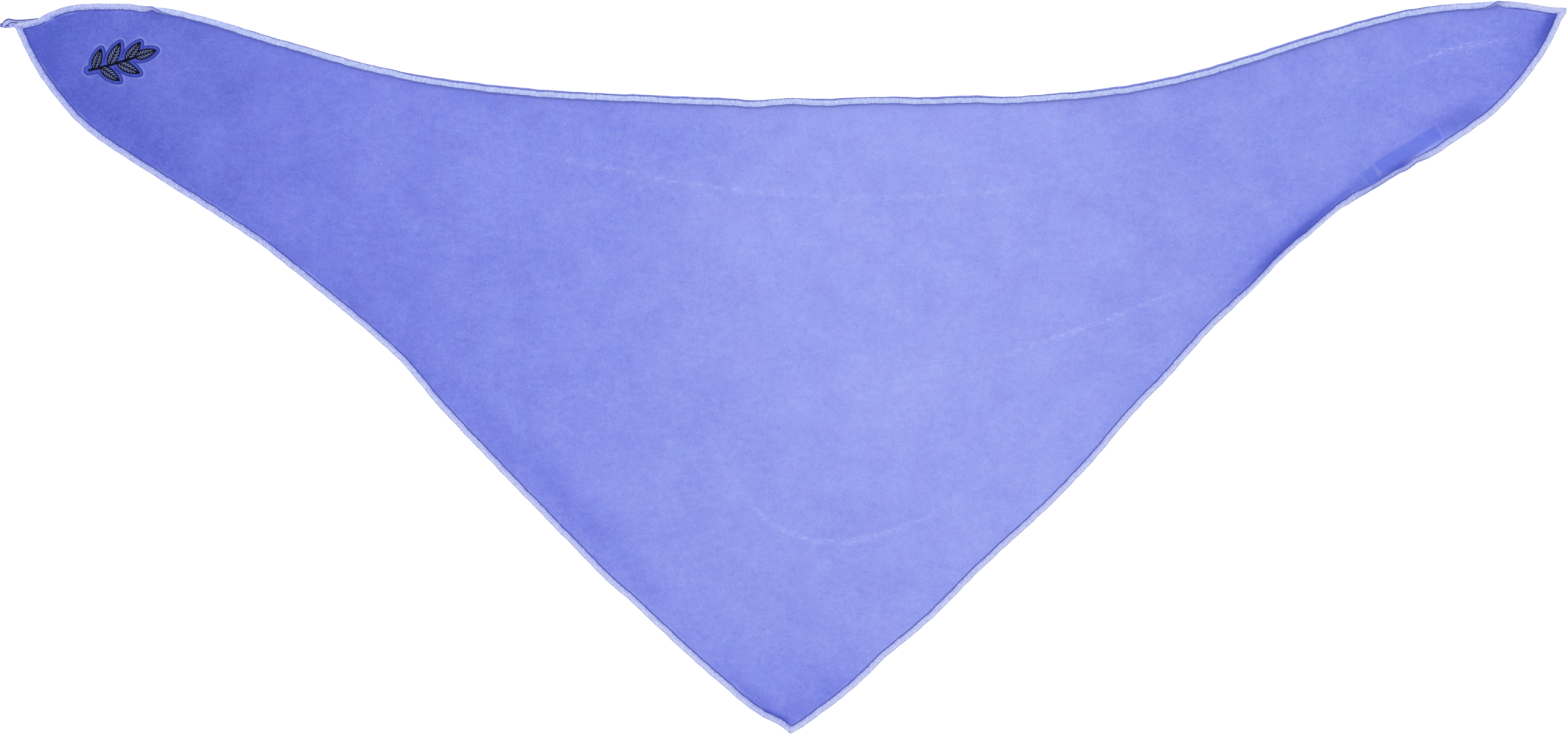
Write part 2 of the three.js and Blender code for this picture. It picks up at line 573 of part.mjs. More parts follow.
// Each band runs from tip to tip: the long edge, the left edge and the right edge
neckerchief.add(makeMesh('overlock_edge_top', bandGeometry(upper), COLOURS.thread, 0.85));
const leftRow = lower.slice(0, middleColumn + 1);
const rightRow = lower.slice(middleColumn).reverse();
neckerchief.add(makeMesh('overlock_edge_left', bandGeometry(leftRow), COLOURS.thread, 0.85));
neckerchief.add(makeMesh('overlock_edge_right', bandGeometry(rightRow), COLOURS.thread, 0.85));
neckerchief.add(makeMesh('thread_tail_left', tailGeometry(), COLOURS.tail, 0.85));

// The sprig's patch lies on the cloth's front, and its raised stitching on the patch
const motifPlace = planPoint(MOTIF_AT);
const patch = makeMesh('motif_patch', sprigGeometry(PATCH_MARGIN, PATCH_T), COLOURS.patch, 0.9);
patch.position.set(motifPlace.x, motifPlace.y, underside(motifPlace, 0) + CLOTH_T + LAY_GAP);
const stitching = makeMesh('motif_stitching', sprigGeometry(0, STITCH_T), COLOURS.stitch, 0.7);
stitching.position.set(motifPlace.x, motifPlace.y, patch.position.z + PATCH_T + LAY_GAP);
neckerchief.add(patch, stitching);

// The label and its tag lie under the cloth, in line, with the tag towards the bottom tip
const labelGroup = new THREE.Group();
const labelPlace = planPoint(LABEL_AT);
labelGroup.position.set(labelPlace.x, labelPlace.y, 0);
labelGroup.rotation.z = LABEL_TURN;
const label = makeMesh('woven_label', stripGeometry(LABEL_L, LABEL_W, LABEL_T), COLOURS.label, 0.6);
const tag = makeMesh('size_tag', stripGeometry(TAG_L, LABEL_W, LABEL_T), COLOURS.tag, 0.6);
tag.position.x = -(LABEL_L + TAG_L) / 2 - TAG_GAP;
labelGroup.add(label, tag);
neckerchief.add(labelGroup);

// The origin stands on the surface, under the middle of the whole piece
neckerchief.updateMatrixWorld(true);
const box = new THREE.Box3().setFromObject(neckerchief, true);
const middle = box.getCenter(new THREE.Vector3());
neckerchief.position.set(-middle.x, -middle.y, -box.min.z);

export default neckerchief;
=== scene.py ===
"""Looks of a triangular neckerchief that lies flat, front face up.

The cloth, its overlocked edges, the embroidered sprig and the back label are worked out with numpy from the
same sizes and tables as the solids, in metres, in the part's own frame: X along the long edge, Y towards it.
"""
import logging
from dataclasses import dataclass, field
from enum import Enum
from typing import NamedTuple

import bpy
import numpy as np
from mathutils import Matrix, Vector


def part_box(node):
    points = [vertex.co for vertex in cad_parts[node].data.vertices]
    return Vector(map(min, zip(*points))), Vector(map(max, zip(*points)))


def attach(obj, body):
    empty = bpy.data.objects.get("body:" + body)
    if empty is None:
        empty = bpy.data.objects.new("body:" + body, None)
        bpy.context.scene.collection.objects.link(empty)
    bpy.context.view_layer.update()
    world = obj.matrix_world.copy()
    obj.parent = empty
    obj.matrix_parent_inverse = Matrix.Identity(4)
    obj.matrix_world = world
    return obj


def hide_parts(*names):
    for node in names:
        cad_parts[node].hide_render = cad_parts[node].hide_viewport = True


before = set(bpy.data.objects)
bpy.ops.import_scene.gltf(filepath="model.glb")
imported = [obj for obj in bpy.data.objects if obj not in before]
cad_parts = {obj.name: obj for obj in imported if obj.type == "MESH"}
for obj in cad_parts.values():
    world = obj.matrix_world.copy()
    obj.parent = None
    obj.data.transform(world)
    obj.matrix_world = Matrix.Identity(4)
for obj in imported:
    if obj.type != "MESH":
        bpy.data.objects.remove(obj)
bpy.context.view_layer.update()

LOG = logging.getLogger("neckerchief")
MM = 0.001
BODY = "root"
Array = np.ndarray
Socket = bpy.types.NodeSocket
# Settings of a Map Range node that eases between its ends
EASED = {"interpolation_type": "SMOOTHSTEP"}
# Numbers of a Mix node's two values, of its two colours, and of its colour output
FIRST, SECOND, UNDER, OVER, MIXED = 2, 3, 6, 7, 2


class Slot(Enum):
    """Material slots of the part's record."""

    CLOTH = "cloth"
    THREAD = "overlock_thread"
    GROUND = "motif_ground"
    EMBROIDERY = "embroidery"
    LABEL = "label"


class Face(Enum):
    """The two faces of the cloth: the front looks up as it lies."""

    FRONT = 1
    BACK = -1


class Bow(NamedTuple):
    """How far an edge bows outwards, as a share of its named bow, at a share along its chord."""

    at: float
    bow: float


class Turn(NamedTuple):
    """How far an edge is folded over onto the front, as a share of a half turn, along its chord."""

    at: float
    turn: float


class Level(NamedTuple):
    """A value at a share along something: a level from 0 to 1, or a slack in millimetres."""

    at: float
    level: float


class Ripple(NamedTuple):
    """A long low swell of the cloth: place as shares, turn in degrees, half sizes and rise as shares."""

    x: float
    y: float
    turn: float
    long: float
    wide: float
    rise: float


class Cloud(NamedTuple):
    """A soft patch where the colour is paler or deeper, some of them painted shade: like a ripple, with a
    gain instead of a rise.
    """

    x: float
    y: float
    turn: float
    long: float
    wide: float
    gain: float


class Crease(NamedTuple):
    """A pale worn crease: an arc through three places, each given as shares."""

    first: tuple[float, float]
    middle: tuple[float, float]
    last: tuple[float, float]


class Leaf(NamedTuple):
    """A leaf of the sprig: share along the stem, side, turn in degrees, length and width as shares."""

    at: float
    side: int
    turn: float
    long: float
    wide: float


class Rung(NamedTuple):
    """A cross-section of a lap or tail: place as shares, half width and height in millimetres."""

    x: float
    y: float
    half: float
    height: float


class Knot(NamedTuple):
    """A place that a dark thread passes: shares of the plan, and a height in millimetres."""

    x: float
    y: float
    height: float


# The three sides, from the left tip for the long edge and the left side, from the right tip for the other
TOP_EDGE = tuple(Bow(*row) for row in (
    (0, 0), (0.008, 0.045), (0.015, 0.078), (0.02, 0.125), (0.03, 0.2), (0.04, 0.237), (0.055, 0.248),
    (0.07, 0.243), (0.085, 0.213), (0.1, 0.174), (0.12, 0.085), (0.14, -0.022), (0.16, -0.14),
    (0.18, -0.245), (0.2, -0.36), (0.22, -0.468), (0.24, -0.559), (0.26, -0.634), (0.28, -0.695),
    (0.3, -0.745), (0.32, -0.79), (0.34, -0.826), (0.36, -0.856), (0.38, -0.88), (0.4, -0.897),
    (0.42, -0.917), (0.44, -0.936), (0.46, -0.955), (0.479, -0.982), (0.5, -0.962), (0.52, -0.974),
    (0.555, -0.957), (0.585, -0.967), (0.615, -0.955), (0.645, -0.973), (0.67, -0.94), (0.69, -0.914),
    (0.71, -0.87), (0.73, -0.814), (0.75, -0.74), (0.77, -0.65), (0.79, -0.544), (0.81, -0.433),
    (0.83, -0.317), (0.85, -0.214), (0.87, -0.113), (0.89, -0.026), (0.91, 0.03), (0.93, 0.06),
    (0.948, 0.07), (0.957, 0.088), (0.97, 0.07), (0.98, 0.037), (0.99, 0.008), (1, 0),
))
LEFT_EDGE = tuple(Bow(*row) for row in (
    (0, 0), (0.01, 0.16), (0.02, 0.317), (0.035, 0.54), (0.05, 0.716), (0.07, 0.88), (0.09, 0.99),
    (0.11, 1.048), (0.13, 1.005), (0.15, 0.895), (0.18, 0.706), (0.2, 0.573), (0.22, 0.438), (0.24, 0.303),
    (0.26, 0.16), (0.28, 0.035), (0.3, -0.088), (0.32, -0.185), (0.35, -0.262), (0.38, -0.337),
    (0.41, -0.405), (0.44, -0.45), (0.465, -0.475), (0.49, -0.445), (0.51, -0.358), (0.53, -0.24),
    (0.55, -0.152), (0.58, -0.068), (0.61, 0.013), (0.64, 0.09), (0.67, 0.16), (0.7, 0.228), (0.73, 0.295),
    (0.75, 0.34), (0.77, 0.38), (0.79, 0.368), (0.81, 0.355), (0.84, 0.375), (0.86, 0.388), (0.9, 0.373),
    (0.93, 0.346), (0.95, 0.312), (0.97, 0.217), (0.98, 0.1), (0.986, 0.03), (0.993, 0), (1, 0),
))
RIGHT_EDGE = tuple(Bow(*row) for row in (
    (0, 0), (0.01, 0.185), (0.02, 0.346), (0.045, 0.678), (0.07, 0.866), (0.1, 1), (0.12, 1.015),
    (0.14, 0.925), (0.16, 0.796), (0.18, 0.686), (0.19, 0.6), (0.197, 0.49), (0.203, 0.4), (0.209, 0.38),
    (0.216, 0.335), (0.223, 0.23), (0.24, 0.11), (0.26, -0.06), (0.28, -0.231), (0.3, -0.295),
    (0.32, -0.32), (0.34, -0.372), (0.36, -0.376), (0.38, -0.326), (0.41, -0.29), (0.445, -0.3),
    (0.46, -0.265), (0.49, -0.148), (0.52, -0.053), (0.55, -0.005), (0.58, 0.104), (0.6, 0.21),
    (0.613, 0.272), (0.63, 0.31), (0.66, 0.388), (0.7, 0.395), (0.76, 0.372), (0.8, 0.425), (0.82, 0.448),
    (0.85, 0.43), (0.87, 0.36), (0.887, 0.33), (0.905, 0.36), (0.93, 0.35), (0.96, 0.258), (0.98, 0.166),
    (0.99, 0.1), (1, 0),
))

# Above 0 an edge is folded up onto the front, and below 0 it hangs down at the back
TOP_TURNS = (Turn(0, 0), Turn(0.076, 0), Turn(0.104, 1), Turn(0.942, 1), Turn(0.968, 0), Turn(1, 0))
RIGHT_TURNS = (
    Turn(0, 0), Turn(0.18, 0), Turn(0.207, 0.38), Turn(0.248, 0.38), Turn(0.29, -0.19), Turn(0.39, -0.19),
    Turn(0.45, 0), Turn(1, 0),
)
FLAT_TURNS = (Turn(0, 0), Turn(1, 0))

# Millimetres from the end of the fold to the seam: below 0 the seam lies on the fold's own curve
TOP_SLACKS = tuple(Level(*row) for row in (
    (0, 0), (0.08, 0), (0.1, -1.5), (0.135, -1.5), (0.16, -1.0), (0.235, -1.0), (0.265, -0.4), (0.33, -0.3),
    (0.38, -0.5), (0.44, -0.3), (0.475, -0.6), (0.5, -1.1), (0.52, -0.5), (0.55, -0.8), (0.59, -0.4),
    (0.62, -0.3), (0.65, -0.8), (0.7, -0.3), (0.78, -0.2), (0.86, -0.3), (0.9, -0.6), (0.925, -1.3),
    (0.946, -1.4), (0.965, 0), (1, 0),
))
NO_SLACKS = (Level(0, 0), Level(1, 0))

# How dark the painted shade in the gaps between the stitches is along each edge
TOP_GAPS = tuple(Level(*row) for row in (
    (0, 1), (0.018, 1), (0.03, 0.7), (0.045, 0.55), (0.065, 0.2), (0.12, 0.15), (0.2, 0.3), (0.6, 0.3),
    (0.9, 0.35), (0.93, 0.6), (0.95, 0.5), (0.965, 0.1), (1, 0.15),
))
LEFT_GAPS = tuple(Level(*row) for row in (
    (0, 0.3), (0.1, 0.45), (0.3, 0.3), (0.6, 0.35), (0.93, 0.3), (0.975, 0.9), (1, 0.9),
))
RIGHT_GAPS = tuple(Level(*row) for row in (
    (0, 0.25), (0.15, 0.15), (0.2, 0.5), (0.26, 0.6), (0.3, 0.85), (0.42, 0.85), (0.48, 0.3), (0.7, 0.2),
    (0.93, 0.15), (1, 0.35),
))

# How deep in colour the stitches are along each edge; where the right hem stands up, this is painted shade
TOP_DEEPS = (Level(0, 0.75), Level(0.06, 0.5), Level(0.2, 0.35), Level(0.3, 0.2), Level(0.9, 0), Level(1, 0))
LEFT_DEEPS = (
    Level(0, 0.55), Level(0.3, 0.6), Level(0.5, 0.12), Level(0.92, 0), Level(0.97, 0.35), Level(1, 0.35),
)
RIGHT_DEEPS = (Level(0, 0), Level(0.17, 0), Level(0.21, 0.8), Level(0.26, 0.8), Level(0.3, 0.1), Level(1, 0))

# How pale the cloth is along the length, and the clouds on top of that; the narrow dark clouds beside the
# hems are painted shade where the cloth rolls over
PALENESS = tuple(Level(*row) for row in (
    (0, 0), (0.03, 0.02), (0.045, 0.11), (0.08, 0.2), (0.155, 0.37), (0.22, 0.5), (0.27, 0.56), (0.35, 0.65),
    (0.41, 0.74), (0.5, 0.9), (0.58, 0.94), (0.65, 0.93), (0.7, 0.88), (0.75, 0.8), (0.815, 0.75),
    (0.89, 0.7), (0.95, 0.64), (0.98, 0.56), (1, 0.52),
))
CLOUDS = tuple(Cloud(*row) for row in (
    (0.004, -0.01, 0, 0.068, 0.068, -0.33), (0.05, 0.24, 20, 0.08, 0.08, -0.07),
    (-0.07, 0.81, -4, 0.05, 0.014, -0.1), (0.25, 0.81, 30, 0.03, 0.022, -0.08),
    (-0.347, 0.878, 10, 0.02, 0.012, -0.1), (-0.315, 0.755, 30, 0.022, 0.014, -0.08),
    (-0.251, 0.62, -40, 0.04, 0.02, -0.08), (0.068, 0.468, 20, 0.04, 0.03, 0.08),
    (-0.015, 0.673, 10, 0.035, 0.03, 0.06), (-0.181, 0.74, 0, 0.03, 0.025, 0.06),
    (0.4906, 0.9658, 62, 0.014, 0.0055, -0.75), (0.48, 0.93, 60, 0.018, 0.01, -0.2),
    (0.33, 0.672, 40, 0.04, 0.0055, -0.85), (0.33, 0.677, 40, 0.043, 0.014, -0.25),
    (0.4325, 0.8375, 25, 0.02, 0.009, -0.38), (0.262, 0.53, 46, 0.045, 0.006, -0.16),
    (0.4137, 0.7966, 33, 0.014, 0.003, 0.3), (0.0275, 0.05, 42, 0.02, 0.01, -0.15),
    (-0.02, 0.05, -42, 0.03, 0.006, -0.15), (-0.26, 0.55, -42, 0.09, 0.012, -0.12),
    (-0.13, 0.3, -46, 0.09, 0.012, -0.12), (-0.4, 0.8, -42, 0.06, 0.012, -0.1),
))

# Painted shade in the narrow folds pressed in beside the seam, with how dark each one is
SHADES = tuple(Cloud(*row) for row in (
    (0.3925, 0.7722, 33, 0.011, 0.0022, 1), (0.3845, 0.7587, 36, 0.009, 0.0024, 1),
    (0.336, 0.6945, 41, 0.042, 0.0028, 0.75), (0.3725, 0.7432, 25, 0.006, 0.0018, 0.9),
    (-0.009, 0.0285, -29, 0.008, 0.0022, 1), (-0.0011, 0.0215, -27, 0.006, 0.0018, 1),
))

# Lines worn pale where the cloth was folded
CREASES = (
    Crease((-0.264, 0.864), (0.011, 0.735), (0.266, 0.796)),
    Crease((-0.053, 0.441), (0.04, 0.262), (0.203, 0.482)),
    Crease((0.113, 0.496), (0.2, 0.56), (0.266, 0.618)),
    Crease((0.394, 0.905), (0.43, 0.935), (0.471, 0.946)),
)

# The long low swells in which the cloth lies
RIPPLES = (
    Ripple(0.306, 0.65, 43, 0.1, 0.03, 1), Ripple(-0.3, 0.655, -39, 0.09, 0.028, 0.6),
    Ripple(-0.036, 0.115, -42, 0.07, 0.028, 0.8), Ripple(0.066, 0.13, 43, 0.065, 0.026, 0.6),
    Ripple(0.462, 0.935, 62, 0.05, 0.026, 0.8), Ripple(-0.09, 0.79, -4, 0.13, 0.04, 0.5),
)

# The sprig's stem, a quadratic arc through shares of its length, and the leaves along it
STEM = ((-0.47, -0.13), (-0.2, -0.075), (0.2, 0.06))
LEAVES = (
    Leaf(0.14, 1, 58, 0.29, 0.125), Leaf(0.3, -1, 50, 0.31, 0.13), Leaf(0.47, 1, 48, 0.34, 0.14),
    Leaf(0.64, -1, 42, 0.33, 0.135), Leaf(0.8, 1, 34, 0.31, 0.13), Leaf(0.96, 1, 0, 0.3, 0.13),
)


def smooth_value(rows: tuple, share: Array) -> Array:
    """Read a table along a smooth run: cubic between rows, each row's slope taken from its neighbours.

    Args:
        rows: Table rows, each a place along 0 to 1 and a value.
        share: Places to read the table at.

    Returns:
        The value at each place.
    """
    at, value = np.array(rows, float).T
    slope = np.concatenate((
        [(value[1] - value[0]) / (at[1] - at[0])],
        (value[2:] - value[:-2]) / (at[2:] - at[:-2]),
        [(value[-1] - value[-2]) / (at[-1] - at[-2])],
    ))
    k = np.clip(np.searchsorted(at, share, side="right") - 1, 0, len(at) - 2)
    span = at[k + 1] - at[k]
    t = (share - at[k]) / span
    rise = t * t * (3 - 2 * t)
    bend = span * t * (1 - t) * ((1 - t) * slope[k] - t * slope[k + 1])
    return value[k] * (1 - rise) + value[k + 1] * rise + bend


def eased(t: Array) -> Array:
    """Ease t from 0 to 1 with level ends, and hold it outside."""
    t = np.clip(t, 0, 1)
    return t * t * (3 - 2 * t)


def stepped_value(rows: tuple, share: Array) -> Array:
    """Read a table with an eased step between rows, so that level stretches stay level.

    Args:
        rows: Table rows, each a place along 0 to 1 and a value.
        share: Places to read the table at.

    Returns:
        The value at each place.
    """
    at, value = np.array(rows, float).T
    k = np.clip(np.searchsorted(at, share, side="right") - 1, 0, len(at) - 2)
    t = eased((share - at[k]) / (at[k + 1] - at[k]))
    return value[k] * (1 - t) + value[k + 1] * t


def turned(place: Array, angle: float) -> Array:
    """Turn plan places by an angle in radians about the origin."""
    c, s = np.cos(angle), np.sin(angle)
    return np.stack((c * place[..., 0] - s * place[..., 1], s * place[..., 0] + c * place[..., 1]), -1)


def linear(code: str) -> tuple[float, float, float, float]:
    """Turn an sRGB hex colour to linear RGB with full alpha.

    Args:
        code: Colour such as "#8790ea".

    Returns:
        Linear red, green, blue and alpha.
    """
    channels = np.array([int(code[i:i + 2], 16) for i in (1, 3, 5)]) / 255
    light = np.where(channels <= 0.04045, channels / 12.92, ((channels + 0.055) / 1.055) ** 2.4)
    return (*light.tolist(), 1.0)


@dataclass
class Draft:
    """A mesh being gathered: blocks of points with their attributes, and blocks of faces."""

    points: list[Array] = field(default_factory=list)
    extras: dict[str, list[Array]] = field(default_factory=dict)
    faces: list[Array] = field(default_factory=list)
    count: int = 0

    def add(self, points: Array, **extras: Array) -> Array:
        """Add a block of points.

        Args:
            points: Coordinates, with x, y, z as the last axis.
            extras: Attributes by name, one value for each point.

        Returns:
            The points' numbers, in the block's own shape.
        """
        flat = points.reshape(-1, 3)
        self.points.append(flat)
        for name, values in extras.items():
            values = np.broadcast_to(values, points.shape[:-1] + np.shape(values)[points.ndim - 1:])
            self.extras.setdefault(name, []).append(values.reshape(len(flat), -1))
        numbers = self.count + np.arange(len(flat)).reshape(points.shape[:-1])
        self.count += len(flat)
        return numbers

    def grid(self, numbers: Array, wrap: bool = False, flip: bool = False) -> None:
        """Skin a grid of point numbers with quads.

        Args:
            numbers: Point numbers on a grid, rows first.
            wrap: Whether the last column joins the first.
            flip: Whether the faces look the other way.
        """
        if wrap:
            numbers = np.concatenate((numbers, numbers[:, :1]), 1)
        quads = np.stack((numbers[:-1, :-1], numbers[:-1, 1:], numbers[1:, 1:], numbers[1:, :-1]), -1)
        self.polygons(quads.reshape(-1, 4), flip)

    def polygons(self, rings: Array, flip: bool = False) -> None:
        """Add faces of one kind. A quad with a doubled corner turns to a triangle.

        Args:
            rings: One row of point numbers for each face.
            flip: Whether the faces look the other way.
        """
        rings = rings[:, ::-1] if flip else rings
        if rings.shape[1] == 4:
            same = rings == np.roll(rings, -1, 1)
            doubled = same.sum(1)
            keep = rings[doubled == 1][~same[doubled == 1]].reshape(-1, 3)
            if len(keep):
                self.faces.append(keep)
            rings = rings[doubled == 0]
        self.faces.append(rings)

    def build(self, name: str, smooth: bool = True) -> bpy.types.Object:
        """Make the mesh and its object at the origin.

        Args:
            name: The piece's name.
            smooth: Whether its faces are shaded smooth.

        Returns:
            The new object, linked to the scene.
        """
        mesh = bpy.data.meshes.new(name)
        points = np.concatenate(self.points)
        sizes = np.concatenate([np.full(len(f), f.shape[1]) for f in self.faces])
        loops = np.concatenate([f.reshape(-1) for f in self.faces])
        mesh.vertices.add(len(points))
        mesh.vertices.foreach_set("co", points.reshape(-1))
        mesh.loops.add(len(loops))
        mesh.loops.foreach_set("vertex_index", loops.astype(np.int32))
        mesh.polygons.add(len(sizes))
        mesh.polygons.foreach_set("loop_start", (np.cumsum(sizes) - sizes).astype(np.int32))
        mesh.update(calc_edges=True)
        for title, blocks in self.extras.items():
            values = np.concatenate(blocks)
            kind, key = ("FLOAT", "value") if values.shape[1] == 1 else ("FLOAT_VECTOR", "vector")
            mesh.attributes.new(title, kind, "POINT").data.foreach_set(key, values.reshape(-1))
        mesh.validate()
        if smooth:
            mesh.shade_smooth()
        piece = bpy.data.objects.new(name, mesh)
        bpy.context.scene.collection.objects.link(piece)
        return piece


def strands(draft: Draft, paths: Array, radius: Array, sides: int, flat: float = 1.0) -> None:
    """Lay round strands along many paths at once, each closed at both ends.

    Each ring stands square to its path: one axis level across the path, the other completing the pair.

    Args:
        draft: The mesh that takes them.
        paths: Points along each path, as strand by point by 3.
        radius: Radius at each point, as strand by point or broadcast to it.
        sides: Sides of each ring.
        flat: Height of the ring as a share of its width.
    """
    along = np.gradient(paths, axis=1)
    along /= np.linalg.norm(along, axis=-1, keepdims=True)
    across = np.cross(along, np.array((0.0, 0.0, 1.0)))
    across /= np.maximum(np.linalg.norm(across, axis=-1, keepdims=True), 1e-9)
    up = np.cross(across, along)
    angle = 2 * np.pi * np.arange(sides) / sides
    radius = np.broadcast_to(radius, paths.shape[:2])[..., None, None]
    ring = np.cos(angle)[:, None] * across[..., None, :] + flat * np.sin(angle)[:, None] * up[..., None, :]
    steps = np.linalg.norm(np.diff(paths, axis=1), axis=-1)
    run = np.concatenate((np.zeros((len(paths), 1)), np.cumsum(steps, 1)), 1)
    strand = np.stack(np.broadcast_arrays(
        run[..., None], np.arange(sides) / sides, np.arange(len(paths))[:, None, None] * 0.618 % 1,
    ), -1)
    numbers = draft.add(paths[..., None, :] + radius * ring, strand=strand)
    wrapped = np.concatenate((numbers, numbers[..., :1]), -1)
    quads = np.stack((wrapped[:, :-1, :-1], wrapped[:, :-1, 1:], wrapped[:, 1:, 1:], wrapped[:, 1:, :-1]), -1)
    draft.polygons(quads.reshape(-1, 4), flip=True)
    draft.polygons(numbers[:, 0], flip=False)
    draft.polygons(numbers[:, -1], flip=True)


@dataclass
class Shader:
    """A node material being put together."""

    name: str
    material: bpy.types.Material = field(init=False)
    surface: bpy.types.Node = field(init=False)

    def __post_init__(self) -> None:
        """Start the material with its own surface node."""
        self.material = bpy.data.materials.new(self.name)
        self.material.use_nodes = True
        self.surface = next(n for n in self.material.node_tree.nodes if n.type == "BSDF_PRINCIPLED")

    def feed(self, node: bpy.types.Node, inputs: dict[int | str, object]) -> None:
        """Link or set a node's inputs.

        Args:
            node: The node.
            inputs: Sockets to link and values to set, by the input's name or number.
        """
        for key, value in inputs.items():
            if isinstance(value, bpy.types.NodeSocket):
                self.material.node_tree.links.new(value, node.inputs[key])
            else:
                node.inputs[key].default_value = value

    def add(self, kind: str, inputs: dict | tuple = (), out: int | str = 0, **settings: object) -> Socket:
        """Add a node with its settings and links.

        Args:
            kind: The node's type, without its ShaderNode start.
            inputs: Values or sockets for its inputs, in order, or by name or number.
            out: Which output to return.
            settings: Properties to set on the node.

        Returns:
            The asked output.
        """
        node = self.material.node_tree.nodes.new("ShaderNode" + kind)
        for name, value in settings.items():
            setattr(node, name, value)
        self.feed(node, inputs if isinstance(inputs, dict) else dict(enumerate(inputs)))
        return node.outputs[out]

    def near(self, value: Socket, middle: float, full: float, gone: float, most: float = 1.0,
             far: float = 0.0) -> Socket:
        """Draw a soft line where a value is near a middle: the eased distance from it, turned to a share.

        Args:
            value: The value.
            middle: Where the line is.
            full: Distance up to which it has its full share.
            gone: Distance at which it has faded.
            most: Share on the line.
            far: Share away from it.

        Returns:
            The share.
        """
        away = self.add("Math", (value, middle), operation="SUBTRACT")
        away = self.add("Math", (away,), operation="ABSOLUTE")
        return self.add("MapRange", (away, full, gone, most, far), **EASED)

    def coats(self, colour: Socket | str, *coats: tuple[Socket, Socket | str]) -> Socket:
        """Lay colours over one another.

        Args:
            colour: The first colour, as a hex code or an output.
            coats: For each coat over it, the share that shows and its colour.

        Returns:
            The colour that is seen.
        """
        for share, coat in coats:
            under, over = (linear(c) if isinstance(c, str) else c for c in (colour, coat))
            colour = self.add("Mix", {0: share, UNDER: under, OVER: over}, MIXED, data_type="RGBA")
        return colour

    def finish(self, **inputs: object) -> bpy.types.Material:
        """Set the surface's inputs by name, with underscores for spaces."""
        self.feed(self.surface, {name.replace("_", " "): value for name, value in inputs.items()})
        return self.material


def dress(piece: bpy.types.Object, slot: Slot, finish: bpy.types.Material, *nodes: str) -> None:
    """Give a piece its finish, its body and the solids that it stands for.

    Args:
        piece: The piece to dress.
        slot: The record's slot that it takes its finish from; not used.
        finish: Its material.
        nodes: Names of the solids that it replaces.
    """
    piece.data.materials.append(finish)
    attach(piece, BODY)
    if nodes:
        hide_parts(*nodes)
    LOG.info("%s: %d points, %d faces", piece.name, len(piece.data.vertices), len(piece.data.polygons))


@dataclass
class Edge:
    """One side of the outline: a chord between two tips, bowed outwards by its table."""

    start: Array
    end: Array
    bows: tuple[Bow, ...]
    depth: float
    out_side: float
    turns: tuple[Turn, ...]
    slacks: tuple[Level, ...]
    waver: float = 0.28 * MM
    samples: int = 6001
    corner_run: float = 32 * MM
    mitres: dict[int, Array] = field(default_factory=dict)

    def __post_init__(self) -> None:
        """Work out the line, the length along it and its inward direction, all as arrays."""
        self.share = np.linspace(0, 1, self.samples)
        chord = self.end - self.start
        out = self.out_side * np.array((-chord[1], chord[0])) / np.linalg.norm(chord)
        waves = self.waver * self.waves(np.linalg.norm(chord))
        bow = self.depth * smooth_value(self.bows, self.share) + waves
        self.line = self.start + self.share[:, None] * chord + bow[:, None] * out
        steps = np.linalg.norm(np.diff(self.line, axis=0), axis=1)
        self.run = np.concatenate(([0], np.cumsum(steps)))
        ahead = np.gradient(self.line, axis=0)
        ahead /= np.linalg.norm(ahead, axis=1, keepdims=True)
        self.ahead = ahead
        self.inward = self.out_side * np.stack((ahead[:, 1], -ahead[:, 0]), 1)
        self.length = float(self.run[-1])

    def waves(self, length: float) -> Array:
        """Small uneven waves of the rim, from -1 to 1, that fade towards both tips.

        Args:
            length: Length of the chord. Counted in micrometres, it seeds the edge's own waves.

        Returns:
            The mean of four sines of different lengths, at every share.
        """
        random = np.random.default_rng(int(length / (0.001 * MM)) % 1000)
        fade = eased(self.share / 0.025) * eased((1 - self.share) / 0.025)
        phase = random.uniform(0, 2 * np.pi, (4, 1))
        size = np.array((41, 27, 17, 11))[:, None] * MM
        return fade * np.sin(2 * np.pi * self.share * length / size + phase).mean(0)

    def read(self, values: Array, run: Array) -> Array:
        """Read one of the line's arrays at lengths along it.

        Args:
            values: The array, with one number or a row of them for each sample.
            run: Lengths along the line.

        Returns:
            The values there, straight between samples.
        """
        if values.ndim == 1:
            return np.interp(run, self.run, values)
        return np.stack([np.interp(run, self.run, column) for column in values.T], -1)

    def turn(self, run: Array) -> Array:
        """Angle, in radians, by which the edge is folded over at each length along it."""
        return np.pi * stepped_value(self.turns, self.read(self.share, run))

    def slack(self, run: Array) -> Array:
        """Distance from the end of the fold to the seam at each length along the edge."""
        return MM * smooth_value(self.slacks, self.read(self.share, run))

    def inset(self, run: Array, depth: Array) -> Array:
        """Plan place at a depth inside the line.

        Near a tip the place slides along the edge by the depth times the tip's cotangent, so that the
        insets of two edges meet on the tip's mitre and never cross.

        Args:
            run: Length along the edge.
            depth: Distance inside it.

        Returns:
            Plan places.
        """
        run, depth = np.broadcast_arrays(run, depth)
        slide = np.zeros_like(depth)
        near = {}
        for end, mitre in self.mitres.items():
            gone = run if end == 0 else self.length - run
            near[end] = np.clip(1 - gone / self.corner_run, 0, 1)
            slide = slide + near[end] * depth * float(self.ahead[end] @ mitre)
        moved = run + slide
        place = self.read(self.line, moved) + self.read(self.inward, moved) * depth[..., None]
        for end, mitre in self.mitres.items():
            own = depth * float(self.ahead[end] @ mitre) + self.run[end]
            flush = self.read(self.line, own) + self.read(self.inward, own) * depth[..., None]
            place = place + (self.line[end] + mitre * depth[..., None] - flush) * near[end][..., None]
        return place


